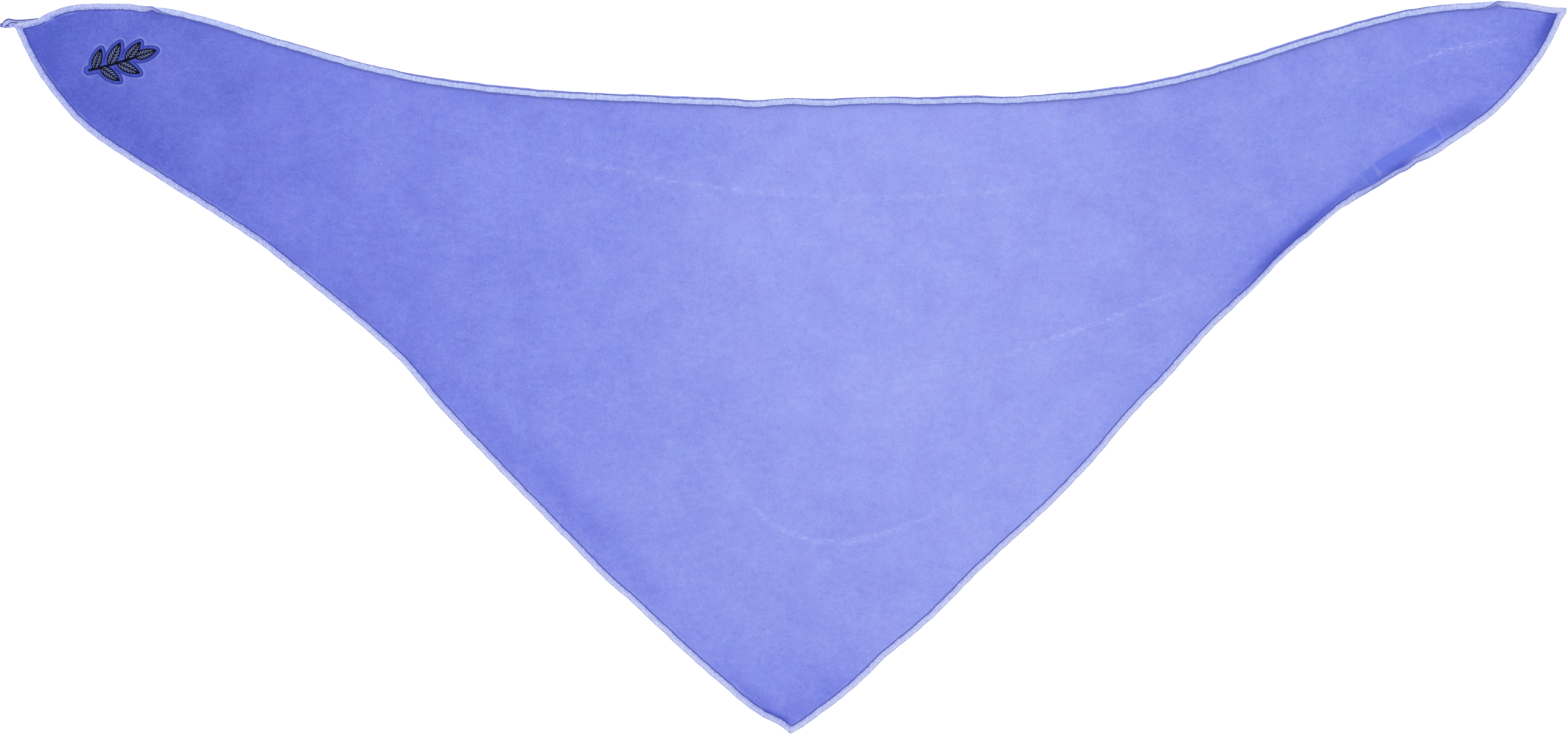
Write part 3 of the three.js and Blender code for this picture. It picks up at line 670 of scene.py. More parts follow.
@dataclass
class Plan:
    """The whole neckerchief in plan, its sizes in metres, and how high its cloth lies."""

    width: float = 1000 * MM
    drop: float = 468 * MM
    top_sag: float = 54 * MM
    side_bow: float = 17.5 * MM
    cloth: float = 0.95 * MM
    band: float = 3.9 * MM
    thread: float = 0.4 * MM
    gap: float = 0.08 * MM
    bend_clear: float = 0.3 * MM
    ripple_height: float = 3 * MM
    crinkle_height: float = 0.35 * MM
    label_bed: float = 0.7 * MM
    label_size: tuple[float, float] = (45 * MM, 11 * MM)
    tag_size: tuple[float, float] = (8 * MM, 11 * MM)
    tag_gap: float = 2.4 * MM
    label_turn: float = np.radians(31)
    motif_at: tuple[float, float] = (-0.4215, 0.9177)
    label_at: tuple[float, float] = (0.3995, 0.795)

    def __post_init__(self) -> None:
        """Set the three edges between the tips, centred as the solids are."""
        self.band_out = self.cloth / 2 + self.gap + self.thread
        self.bend = np.pi * (self.cloth + self.thread + 3 * self.gap) / 2
        self.flap = self.band + self.bend_clear
        self.hem_zone = self.flap + self.bend + self.cloth
        self.tag_at = -(self.label_size[0] + self.tag_size[0]) / 2 - self.tag_gap
        self.shift = np.zeros(2)
        self.make_edges()
        self.shift = self.solids_middle() - self.outline_middle()
        self.make_edges()

    def make_edges(self) -> None:
        """Make the edges and the mitres at which they meet."""
        left, right, bottom = (self.spot(x, y) for x, y in ((-0.4909, 0.9658), (0.5, 0.99), (0.0045, 0)))
        self.top = Edge(left, right, TOP_EDGE, self.top_sag, 1, TOP_TURNS, TOP_SLACKS)
        self.left = Edge(left, bottom, LEFT_EDGE, self.side_bow, -1, FLAT_TURNS, NO_SLACKS)
        self.right = Edge(right, bottom, RIGHT_EDGE, self.side_bow, 1, RIGHT_TURNS, NO_SLACKS)
        for first, end, second, other in (
            (self.top, 0, self.left, 0), (self.top, -1, self.right, 0), (self.left, -1, self.right, -1),
        ):
            a, b = first.inward[end], second.inward[other]
            mitre = (a + b) / (1 + a @ b)
            first.mitres[end] = mitre
            second.mitres[other] = mitre

    def spot(self, x: float, y: float) -> Array:
        """Plan place given as shares of the width, from the middle, and of the drop, from the bottom tip."""
        return np.array((x * self.width, y * self.drop)) + self.shift

    def outline_middle(self) -> Array:
        """Middle of the outline's box in plan."""
        line = np.concatenate([edge.line for edge in (self.top, self.left, self.right)])
        return (line.min(0) + line.max(0)) / 2

    def solids_middle(self) -> Array:
        """Middle, in plan, of the box round the three bands of the solids.

        Returns:
            The place.
        """
        boxes = [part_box(f"overlock_edge_{side}") for side in ("top", "left", "right")]
        low = np.min([np.array(box[0]) for box in boxes], 0)
        high = np.max([np.array(box[1]) for box in boxes], 0)
        return ((low + high) / 2)[:2]

    def ripples(self, place: Array) -> Array:
        """Height of the long swells at each place: a squared cosine from each swell's middle to its rim.

        Args:
            place: Plan places.

        Returns:
            The heights.
        """
        height = np.zeros(place.shape[:-1])
        for r in RIPPLES:
            local = turned(place - self.spot(r.x, r.y), -np.radians(r.turn))
            reach = np.hypot(local[..., 0] / (r.long * self.width), local[..., 1] / (r.wide * self.width))
            height += self.ripple_height * r.rise * np.cos(np.minimum(1, reach) * np.pi / 2) ** 2
        return height

    def crinkle(self, place: Array) -> Array:
        """Small uneven waves of cloth that has been washed: a sum of sines in scattered directions.

        Args:
            place: Plan places.

        Returns:
            Their heights.
        """
        random = np.random.default_rng(7)
        height = np.zeros(place.shape[:-1])
        for length in (90 * MM, 70 * MM, 52 * MM, 41 * MM, 33 * MM, 26 * MM):
            angle, phase = random.uniform(0, 2 * np.pi, 2)
            bend = 0.6 * np.sin(place[..., 0] * 19 + phase * 2) + 0.6 * np.cos(place[..., 1] * 23 + phase)
            way = place[..., 0] * np.cos(angle) + place[..., 1] * np.sin(angle)
            height += length * np.sin(2 * np.pi * way / length + phase + 2 * bend)
        return self.crinkle_height * (0.5 + height / (600 * MM))

    def label_local(self, place: Array) -> Array:
        """Plan place as seen from the label's middle, along and across it."""
        return turned(place - self.spot(*self.label_at), -self.label_turn)

    def bed(self, place: Array) -> Array:
        """Height to which the label lifts the cloth over it.

        Args:
            place: Plan places.

        Returns:
            The label's bed over the label and tag, eased to 0 past an apron round them.
        """
        local = np.abs(self.label_local(place))
        apron = 15 * MM
        past = np.maximum(
            local[..., 0] - self.label_size[0] / 2 - self.tag_size[0] - self.tag_gap - apron,
            local[..., 1] - self.label_size[1] / 2 - apron,
        )
        return self.label_bed * (1 - eased(past / apron))

    def underside(self, place: Array, lift: Array) -> Array:
        """Height of the cloth's back at each place, where the edge's thread may hold it up by lift."""
        return self.ripples(place) + self.crinkle(place) + np.maximum(lift, self.bed(place))

    def bend_start(self, turn: Array, slack: Array) -> Array:
        """Depth at which an edge starts to bend, so that its outermost point lies on the outline.

        Args:
            turn: Angle by which the edge is folded over.
            slack: Distance from the end of the fold to the seam.

        Returns:
            The flap's own reach for less than a quarter turn, and the widest point of the bend past it.
        """
        radius = self.bend / np.maximum(turn, 1e-6)
        flap = self.flap + slack
        flat = self.bend * np.sinc(turn / np.pi) + self.band_out * np.abs(np.sin(turn)) + flap * np.cos(turn)
        over = np.maximum(radius + self.cloth / 2, (radius + self.band_out) * np.sin(turn))
        return np.where(turn <= np.pi / 2, flat, over)

    def lift(self, turn: Array) -> Array:
        """Height by which the thread under an edge holds up the cloth."""
        return (self.band_out - self.cloth / 2) * np.maximum(0, np.cos(turn))

    def hang(self, turn: Array) -> Array:
        """How far the rim hangs below the cloth where an edge is turned down."""
        down = np.maximum(0, -turn)
        return self.bend * np.sinc(down / 2 / np.pi) * np.sin(down / 2) + self.flap * np.sin(down)

    def section(self, edge: Edge, run: Array, out: Array, rise: Array) -> Array:
        """Points of an edge's cross-section.

        The cloth runs level, bends round an arc whose length is fixed and whose angle is the edge's turn,
        and then runs straight again. The point lies on it at out, lifted towards the front by rise.

        Args:
            edge: The edge.
            run: Length along the edge.
            out: Distance along the cloth from the start of the bend, outwards.
            rise: Distance from the middle of the cloth towards its front.

        Returns:
            Points, with x, y, z as the last axis.
        """
        run, out, rise = np.broadcast_arrays(run, out, rise)
        turn, slack = edge.turn(run), edge.slack(run)
        out = np.where(out < self.bend, out + np.maximum(out, 0) * slack / self.bend, out + slack)
        bent = np.clip(out / self.bend, 0, 1)
        angle = turn * bent
        straight = np.where(out < 0, out, np.maximum(0, out - self.bend))
        arc_out = self.bend * bent * np.sinc(angle / np.pi)
        arc_up = self.bend * bent * np.sinc(angle / 2 / np.pi) * np.sin(angle / 2)
        reach = arc_out + straight * np.cos(angle) - rise * np.sin(angle)
        up = arc_up + straight * np.sin(angle) + rise * np.cos(angle)
        place = edge.inset(run, self.bend_start(turn, slack) - reach)
        inner = edge.inset(run, np.full_like(reach, self.hem_zone))
        mid = self.underside(inner, self.lift(turn)) + self.cloth / 2
        mid = np.maximum(mid, np.where(turn < 0, self.hang(turn) + self.band_out * np.cos(turn), 0))
        return np.concatenate((place, (mid + up)[..., None]), -1)


# The raised nap hides the weave and scatters the light, so the cloth looks soft and matt, with no highlight
@dataclass(frozen=True)
class BrushedCotton:
    """Brushed cotton with a garment dye, paler in places, with painted shade by its hems and painted
    highlights by the patch and seams.
    """

    deepest: str = "#3e49ab"
    deep: str = "#4a56bb"
    middle: str = "#6f7ad5"
    pale: str = "#8f9ae1"
    palest: str = "#a5ade8"
    violet: str = "#fff8fd"
    # Pale colour of the painted highlight round the patch and on the ridge beside the seam, and of the
    # pressed label's rim line
    halo: str = "#9ba5e3"
    pressed: str = "#4d64d3"
    fold: str = "#7d84cc"
    fold_rim: str = "#8d7ba6"
    seam_line: str = "#3f4bab"
    # Colour of the painted shade in the narrow folds beside the seam
    shadow: str = "#4654bd"
    fuzz: str = "#c8cdfa"
    blotch: float = 30 * MM
    mottle: float = 4.2 * MM
    streak: float = 3 * MM
    tint: float = 16 * MM
    # Size of the patches that make the painted highlight on the ridge beside the seam uneven
    wear: float = 22 * MM
    dash: float = 1.5 * MM
    nap: float = 1.0 * MM
    fibre: float = 2 * MM

    def fibres(self, s: Shader, where: Socket, shift: float) -> Socket:
        """Draw short curly fibres: thin level lines of warped noise, broken up by a second noise.

        Args:
            s: The shader.
            where: Coordinates in metres.
            shift: Offset that makes this set of fibres its own.

        Returns:
            1 on a fibre and 0 off it.
        """
        moved = s.add("VectorMath", (where, (shift, -shift, shift)), operation="ADD")
        curls = {"Vector": moved, "Scale": 1 / self.fibre, "Detail": 1.0, "Distortion": 0.9}
        lines = s.add("TexNoise", curls)
        broken = s.add("TexNoise", {"Vector": moved, "Scale": 1 / (0.8 * self.fibre), "Detail": 1.0})
        broken = s.add("MapRange", (broken, 0.42, 0.66), **EASED)
        return s.add("Math", (s.near(lines, 0.5, 0.0, 0.07), broken), operation="MULTIPLY")

    def level(self, s: Shader, where: Socket, nap: Socket) -> Socket:
        """Work out how pale the cloth is: its run and clouds, with painted shade among them, and blotches,
        mottles, level streaks and nap on top.

        Args:
            s: The shader.
            where: Coordinates in metres.
            nap: Noise of the nap.

        Returns:
            The level, 0 where the colour is deep and 1 where it is pale.
        """
        # The run and clouds of paleness; the narrow dark clouds among them are painted shade
        level = s.add("Attribute", out="Fac", attribute_name="wash")
        long = s.add("VectorMath", (where, (0.4, 1.0, 1.0)), operation="MULTIPLY")
        noises = []
        for place, size, warp, rough, gain in (
            (where, self.blotch, 0.6, 0.5, 0.34), (where, self.mottle, 0.3, 0.65, 0.32),
            (long, self.streak, 0.6, 0.5, 0.22),
        ):
            noise = {"Vector": place, "Scale": 1 / size, "Detail": 3.0, "Distortion": warp}
            noises.append((s.add("TexNoise", noise | {"Roughness": rough}), gain))
        for noise, gain in (*noises, (nap, 0.42)):
            lively = s.add("Math", (noise, 0.5), operation="SUBTRACT")
            lively = s.add("Math", (lively, gain), operation="MULTIPLY")
            level = s.add("Math", (level, lively), operation="ADD")
        for shift, gain, way in ((0.74, 0.12, "ADD"), (0.31, 0.15, "SUBTRACT")):
            fibres = s.add("Math", (self.fibres(s, where, shift), gain), operation="MULTIPLY")
            level = s.add("Math", (level, fibres), operation=way)
        return level

    def scuff(self, s: Shader, where: Socket) -> Socket:
        """Draw the worn creases: broken dashes along each line, which fade to both sides of it.

        Args:
            s: The shader.
            where: Coordinates in metres.

        Returns:
            How far the nap is scuffed.
        """
        crease = s.add("Attribute", out="Vector", attribute_name="crease")
        side, wear_and_highlight, _ = s.add("SeparateXYZ", (crease,)).node.outputs
        away = s.add("Math", (side,), operation="ABSOLUTE")
        zone = s.add("MapRange", (away, 0.3 * MM, 3.2 * MM, 1.0, 0.0), **EASED)
        zone = s.add("Math", (zone, wear_and_highlight), operation="MULTIPLY")
        long = s.add("VectorMath", (where, (0.45, 1.0, 1.0)), operation="MULTIPLY")
        dash = s.add("TexNoise", {"Vector": long, "Scale": 1 / self.dash, "Distortion": 0.3})
        dash = s.add("MapRange", (dash, 0.48, 0.66, 0.0, 0.6), **EASED)
        dash = s.add("Math", (dash, 0.14), operation="ADD")
        return s.add("Math", (zone, dash), operation="MULTIPLY")

    def hems(self, s: Shader, where: Socket, colour_and_shade: Socket) -> Socket:
        """Draw the cloth beside the seam: a pale ridge of painted highlight, a thin dark groove that is part
        needle-line colour and part painted shade, and the violet fold.

        Args:
            s: The shader.
            where: Coordinates in metres.
            colour_and_shade: Colour of the cloth.

        Returns:
            The colour with the hems drawn over it.
        """
        seam = s.add("Attribute", out="Fac", attribute_name="seam")
        uneven = s.add("TexNoise", {"Vector": where, "Scale": 1 / self.wear})
        uneven = s.add("MapRange", (uneven, 0.45, 0.68, 0.0, 0.35), **EASED)
        # Painted highlight along the ridge beside the seam, uneven from patch to patch
        ridge = s.near(seam, 1.0 * MM, 0.1 * MM, 0.9 * MM)
        ridge = s.add("Math", (ridge, uneven), operation="MULTIPLY")
        # The groove's dark line: part needle-line colour, part painted shade in the groove
        groove = s.near(seam, 0.1 * MM, 0.1 * MM, 0.5 * MM, 0.8)
        fold = s.add("Attribute", out="Fac", attribute_name="fold")
        bent = s.add("MapRange", (fold, 0.2, 0.5), **EASED)
        rim = s.near(fold, 0.55, 0.06, 0.16, 0.9)
        return s.coats(colour_and_shade, (ridge, self.halo), (groove, self.seam_line), (bent, self.fold),
                       (rim, self.fold_rim))

    def material(self) -> bpy.types.Material:
        """Put the cloth's material together.

        Returns:
            The material.
        """
        s = Shader("brushed_cotton")
        where = s.add("TexCoord", out="Object")
        nap = s.add("TexNoise", {"Vector": where, "Scale": 1 / self.nap, "Distortion": 0.2})
        level = self.level(s, where, nap)
        # Colour from the level, which carries the painted shade of the narrow clouds
        colour_and_shade = s.coats(self.deepest, *(
            (s.add("MapRange", (level, low, high)), colour) for low, high, colour in (
                (-0.4, 0.0, self.deep), (0.0, 0.5, self.middle), (0.5, 1.0, self.pale),
                (1.0, 1.4, self.palest),
            )
        ))
        tint = s.add("TexNoise", {"Vector": where, "Scale": 1 / self.tint, "Detail": 3.0, "Distortion": 0.5})
        tint = s.add("MapRange", (tint, 0.35, 0.65, 0.0, 0.9), **EASED)
        tinted = {0: tint, UNDER: colour_and_shade, OVER: linear(self.violet)}
        colour_and_shade = s.add("Mix", tinted, MIXED, data_type="RGBA", blend_type="MULTIPLY")
        pressed, halo, shade = (s.add("Attribute", out="Fac", attribute_name=name)
                                for name in ("pressed", "halo", "shade"))
        sunk = s.add("Math", (pressed, 0.54), operation="MULTIPLY")
        line = s.near(pressed, 0.4, 0.1, 0.4, 0.12)
        # The halo coat is painted highlight round the patch; the line coat is the pressed label's pale rim
        colour_and_shade = s.coats(colour_and_shade, (self.scuff(s, where), self.palest), (sunk, self.pressed), (line, self.halo),
                       (halo, self.halo))
        # Painted shade in the narrow folds beside the seam, laid over everything else
        colour_and_shade = s.coats(self.hems(s, where, colour_and_shade), (shade, self.shadow))
        fibres = s.add("Math", (self.fibres(s, where, 1.3), 0.4), operation="MULTIPLY")
        fuzz = s.add("Math", (nap, fibres), operation="ADD")
        normal = s.add("Bump", {"Height": fuzz, "Distance": 0.1 * MM, "Strength": 0.4})
        return s.finish(Base_Color=colour_and_shade, Roughness=0.95, Normal=normal, Sheen_Weight=0.08,
                        Sheen_Roughness=0.5, Sheen_Tint=linear(self.fuzz))


# Fuzzy spun thread took little dye, so the edge reads as a pale rib line with no shine; its fine dark gaps
# are painted shade between the stitches
@dataclass(frozen=True)
class OverlockThread:
    """Spun cotton overlock thread, laid in close low ribs."""

    front: str = "#b1b7df"
    seam_side: str = "#929dde"
    rim: str = "#a8a7c6"
    rim_line: str = "#7d7496"
    back: str = "#a5b3e1"
    back_side: str = "#8f9cdb"
    deep: str = "#8f9ad6"
    deep_side: str = "#7380cd"
    gap: str = "#4b57b4"
    # Pale colour of the streaks along each stitch: part painted highlight on the ribs, part uneven tone of
    # the thread
    wear_and_highlight: str = "#d3d8f2"
    streak: float = 0.8
    mottle: float = 5 * MM
    uneven: float = 1.9 * MM
    fuzz: float = 0.3 * MM

    def faces(self, s: Shader, across: Socket, under: Socket) -> Socket:
        """Colour the two faces: the front pale with a greyish rim, the back light blue between bluer rims.

        Args:
            s: The shader.
            across: Share across the band, from the rim to the seam.
            under: 0 on the front and 1 on the back.

        Returns:
            The colour.
        """
        inner = s.add("MapRange", (across, 0.35, 0.95), **EASED)
        # Share of deeper colour; where the right hem stands up it is painted shade
        colour_and_shade = s.add("Attribute", out="Fac", attribute_name="deep")
        light = s.add("Math", (1.0, colour_and_shade), operation="SUBTRACT")
        rim, line = (s.add("MapRange", (across, width, 0.02, 0.0, 0.75), **EASED) for width in (0.25, 0.1))
        rim, line = (s.add("Math", (share, light), operation="MULTIPLY") for share in (rim, line))
        deep = s.coats(self.deep, (inner, self.deep_side))
        front = s.coats(self.front, (inner, self.seam_side), (colour_and_shade, deep), (rim, self.rim),
                        (line, self.rim_line))
        back = s.coats(self.back, (s.near(across, 0.5, 0.2, 0.5, 0.0, 1.0), self.back_side))
        return s.coats(front, (under, back))

    def gaps(self, s: Shader, where: Socket, stitch: Socket, across: Socket, under: Socket) -> Socket:
        """Darken between the stitches with painted shade: faint slits in front, deep at both ends. Behind, a
        row of holes and a painted shadow along the folded band's lower edge.

        Args:
            s: The shader.
            where: Coordinates in metres.
            stitch: Count of stitches along the edge.
            across: Share across the band, from the rim to the seam.
            under: 0 on the front and 1 on the back.

        Returns:
            How dark it is.
        """
        wave = s.add("Math", (stitch, 2 * np.pi), operation="MULTIPLY")
        wave = s.add("Math", (wave,), operation="COSINE")
        uneven = s.add("TexNoise", {"Vector": where, "Scale": 1 / self.uneven})
        uneven = s.add("MapRange", (uneven, 0.35, 0.65, 0.1, 1.0), **EASED)
        slit = s.add("MapRange", (wave, 0.1, -1.0), **EASED)
        slit = s.add("Math", (slit, uneven), operation="MULTIPLY")
        ends = s.add("Math", (
            s.add("MapRange", (across, 0.28, 0.06, 0.0, 0.8), **EASED),
            s.add("MapRange", (across, 0.5, 0.85, 0.0, 0.9), **EASED),
        ), operation="MAXIMUM")
        front = s.add("Attribute", out="Fac", attribute_name="gaps")
        front = s.add("Math", (front, ends), operation="MULTIPLY")
        front = s.add("Math", (0.08, front), operation="ADD")
        back = s.add("Math", (0.08, s.near(across, 0.36, 0.02, 0.1, 0.7)), operation="ADD")
        # Painted shadow, jagged with the stitches, along the lower edge of the folded band
        saw = s.add("MapRange", (across, 0.24, 0.1), **EASED)
        back = s.add("Math", (back, saw), operation="ADD")
        share = s.add("Mix", {0: under, FIRST: front, SECOND: back})
        share = s.add("Math", (share, 1.0), operation="MINIMUM")
        share = s.add("Math", (slit, share), operation="MULTIPLY")
        # Painted shadow along the lower edge of the band's back, where it lies folded onto the front
        edge = s.add("MapRange", (across, 0.2, 0.07, 0.0, 0.85), **EASED)
        edge = s.add("Math", (edge, under), operation="MULTIPLY")
        return s.add("Math", (share, edge), operation="MAXIMUM")

    def material(self) -> bpy.types.Material:
        """Put the thread's material together: its pattern follows the stitches by the band's own attribute.

        Returns:
            The material.
        """
        s = Shader("overlock_thread")
        where = s.add("TexCoord", out="Object")
        thread = s.add("Attribute", out="Vector", attribute_name="thread")
        stitch, across, under = s.add("SeparateXYZ", (thread,)).node.outputs
        tone = s.add("TexNoise", {"Vector": where, "Scale": 1 / self.mottle, "Detail": 3.0})
        tone = s.add("MapRange", (tone, 0.35, 0.65, 0.0, 0.3), **EASED)
        wide = s.add("Math", (across, 1.4), operation="MULTIPLY")
        side = s.add("Math", (under, 3.0), operation="MULTIPLY")
        along = s.add("CombineXYZ", (stitch, wide, side))
        # Pale streaks along each stitch: part painted highlight on the ribs, part uneven tone of the thread
        streaks = {"Vector": along, "Scale": 1 / self.streak, "Detail": 3.0, "Distortion": 0.4}
        wear_and_highlight = s.add("MapRange", (s.add("TexNoise", streaks), 0.4, 0.68, 0.0, 0.55), **EASED)
        gaps = self.gaps(s, where, stitch, across, under)
        body = self.faces(s, across, under)
        body = s.coats(body, (tone, self.seam_side), (wear_and_highlight, self.wear_and_highlight), (gaps, self.gap))
        fuzz = s.add("TexNoise", {"Vector": where, "Scale": 1 / self.fuzz})
        normal = s.add("Bump", {"Height": fuzz, "Distance": 0.05 * MM, "Strength": 0.5})
        return s.finish(Base_Color=body, Roughness=0.85, Normal=normal, Sheen_Weight=0.05)


# Twisted plies break up the light: each strand shows slanting bright and dark turns, the dark ones painted
# shade in the grooves between the plies
@dataclass(frozen=True)
class Strand:
    """A sewn thread: two plies twisted, with a soft shine along its length."""

    title: str
    colour: str
    shade: str
    roughness: float
    sheen: float = 0.0
    gloss: float = 0.3
    twist: float = 0.9 * MM

    def material(self) -> bpy.types.Material:
        """Put the thread's material together: its plies run slanting round each strand.

        Returns:
            The material.
        """
        s = Shader(self.title)
        strand = s.add("Attribute", out="Vector", attribute_name="strand")
        run, around, own = s.add("SeparateXYZ", (strand,)).node.outputs
        turns = s.add("Math", (run, self.twist), operation="DIVIDE")
        turns = s.add("Math", (turns, around), operation="ADD")
        ply = s.add("Math", (turns, 4 * np.pi), operation="MULTIPLY")
        ply = s.add("Math", (ply,), operation="SINE")
        # Painted shade on one side of each ply turn, with a little random tone from strand to strand
        tone = s.add("MapRange", (ply, -0.2, -1.0, 0.0, 0.55), **EASED)
        own = s.add("Math", (own, 0.3), operation="MULTIPLY")
        tone = s.add("Math", (tone, own), operation="ADD")
        round_ply = s.add("MapRange", (ply, -1.0, 1.0), **EASED)
        normal = s.add("Bump", {"Height": round_ply, "Distance": 0.06 * MM, "Strength": 0.6})
        return s.finish(Base_Color=s.coats(self.colour, (tone, self.shade)), Roughness=self.roughness,
                        Normal=normal, Sheen_Weight=self.sheen, Specular_IOR_Level=self.gloss)


# Spun needle thread sinks into the seam, dull and a little darker than the cloth
NEEDLE_THREAD = Strand("needle_thread", "#4753bb", "#3a45a6", 0.8)
# The end of the chain took the most dye, so it looks almost navy
TAIL_THREAD = Strand("tail_thread", "#4a48a0", "#2a2a78", 0.8)
# Satin stitch lies parallel, which gives a muted grey-blue fill with a faint shine
SATIN_THREAD = Strand("satin_thread", "#6c77ad", "#515b94", 0.5, sheen=0.05)
# Matt black embroidery thread hardly shines, so the drawn lines stay dark from every side
BLACK_THREAD = Strand("black_thread", "#0d0e20", "#06060f", 0.7, gloss=0.06)


# Dense felt takes the dye deeply: a flat saturated ground that sets the sprig off from the paler cloth
@dataclass(frozen=True)
class FeltGround:
    """The patch's felted ground, dark where the needle line presses its edge down."""

    ground: str = "#404cb4"
    light: str = "#4c58c2"
    line: str = "#29338c"
    mottle: float = 1.4 * MM
    fuzz: float = 0.35 * MM

    def material(self) -> bpy.types.Material:
        """Put the ground's material together: the edge line follows the patch's own outline.

        Returns:
            The material.
        """
        s = Shader("felt_ground")
        where = s.add("TexCoord", out="Object")
        mottle = s.add("TexNoise", {"Vector": where, "Scale": 1 / self.mottle, "Detail": 3.0})
        mottle = s.add("MapRange", (mottle, 0.3, 0.7), **EASED)
        edge = s.add("Attribute", out="Fac", attribute_name="edge")
        line = s.near(edge, 0.42 * MM, 0.12 * MM, 0.42 * MM, 0.9)
        fuzz = s.add("TexNoise", {"Vector": where, "Scale": 1 / self.fuzz, "Detail": 3.0})
        normal = s.add("Bump", {"Height": fuzz, "Distance": 0.1 * MM, "Strength": 0.7})
        return s.finish(Base_Color=s.coats(self.ground, (mottle, self.light), (line, self.line)),
                        Roughness=0.95, Normal=normal, Specular_IOR_Level=0.1)


# Smooth polyester gives an even pale satin, with its weave just showing as fine ribs
@dataclass(frozen=True)
class WovenTape:
    """Woven label tape, blank."""

    tape: str = "#e8eaf6"
    rib: str = "#c9cde4"
    pitch: float = 0.35 * MM

    def material(self) -> bpy.types.Material:
        """Put the tape's material together: its weave is the product of two sines, along and across it.

        Returns:
            The material.
        """
        s = Shader("woven_tape")
        place = s.add("Attribute", out="Vector", attribute_name="weave")
        ways = s.add("SeparateXYZ", (place,)).node.outputs[:2]
        turns = (s.add("Math", (way, 2 * np.pi / self.pitch), operation="MULTIPLY") for way in ways)
        warp, weft = (s.add("Math", (turn,), operation="SINE") for turn in turns)
        weave = s.add("Math", (warp, weft), operation="MULTIPLY")
        ribs = s.add("MapRange", (weave, 0.1, -1.0), **EASED)
        normal = s.add("Bump", {"Height": weave, "Distance": 0.05 * MM, "Strength": 0.5})
        return s.finish(Base_Color=s.coats(self.tape, (ribs, self.rib)), Roughness=0.55, Normal=normal)


# A matt floor lit from below like a light table, so that the cloth hardly throws a shadow
@dataclass(frozen=True)
class PaleFloor:
    """A plain pale studio floor."""

    colour: str = "#fafafa"
    light: str = "#ffffff"
    glow: float = 0.3

    def material(self) -> bpy.types.Material:
        """Put the floor's material together."""
        return Shader("pale_floor").finish(Base_Color=linear(self.colour), Roughness=0.9,
                                           Emission_Color=linear(self.light), Emission_Strength=self.glow)


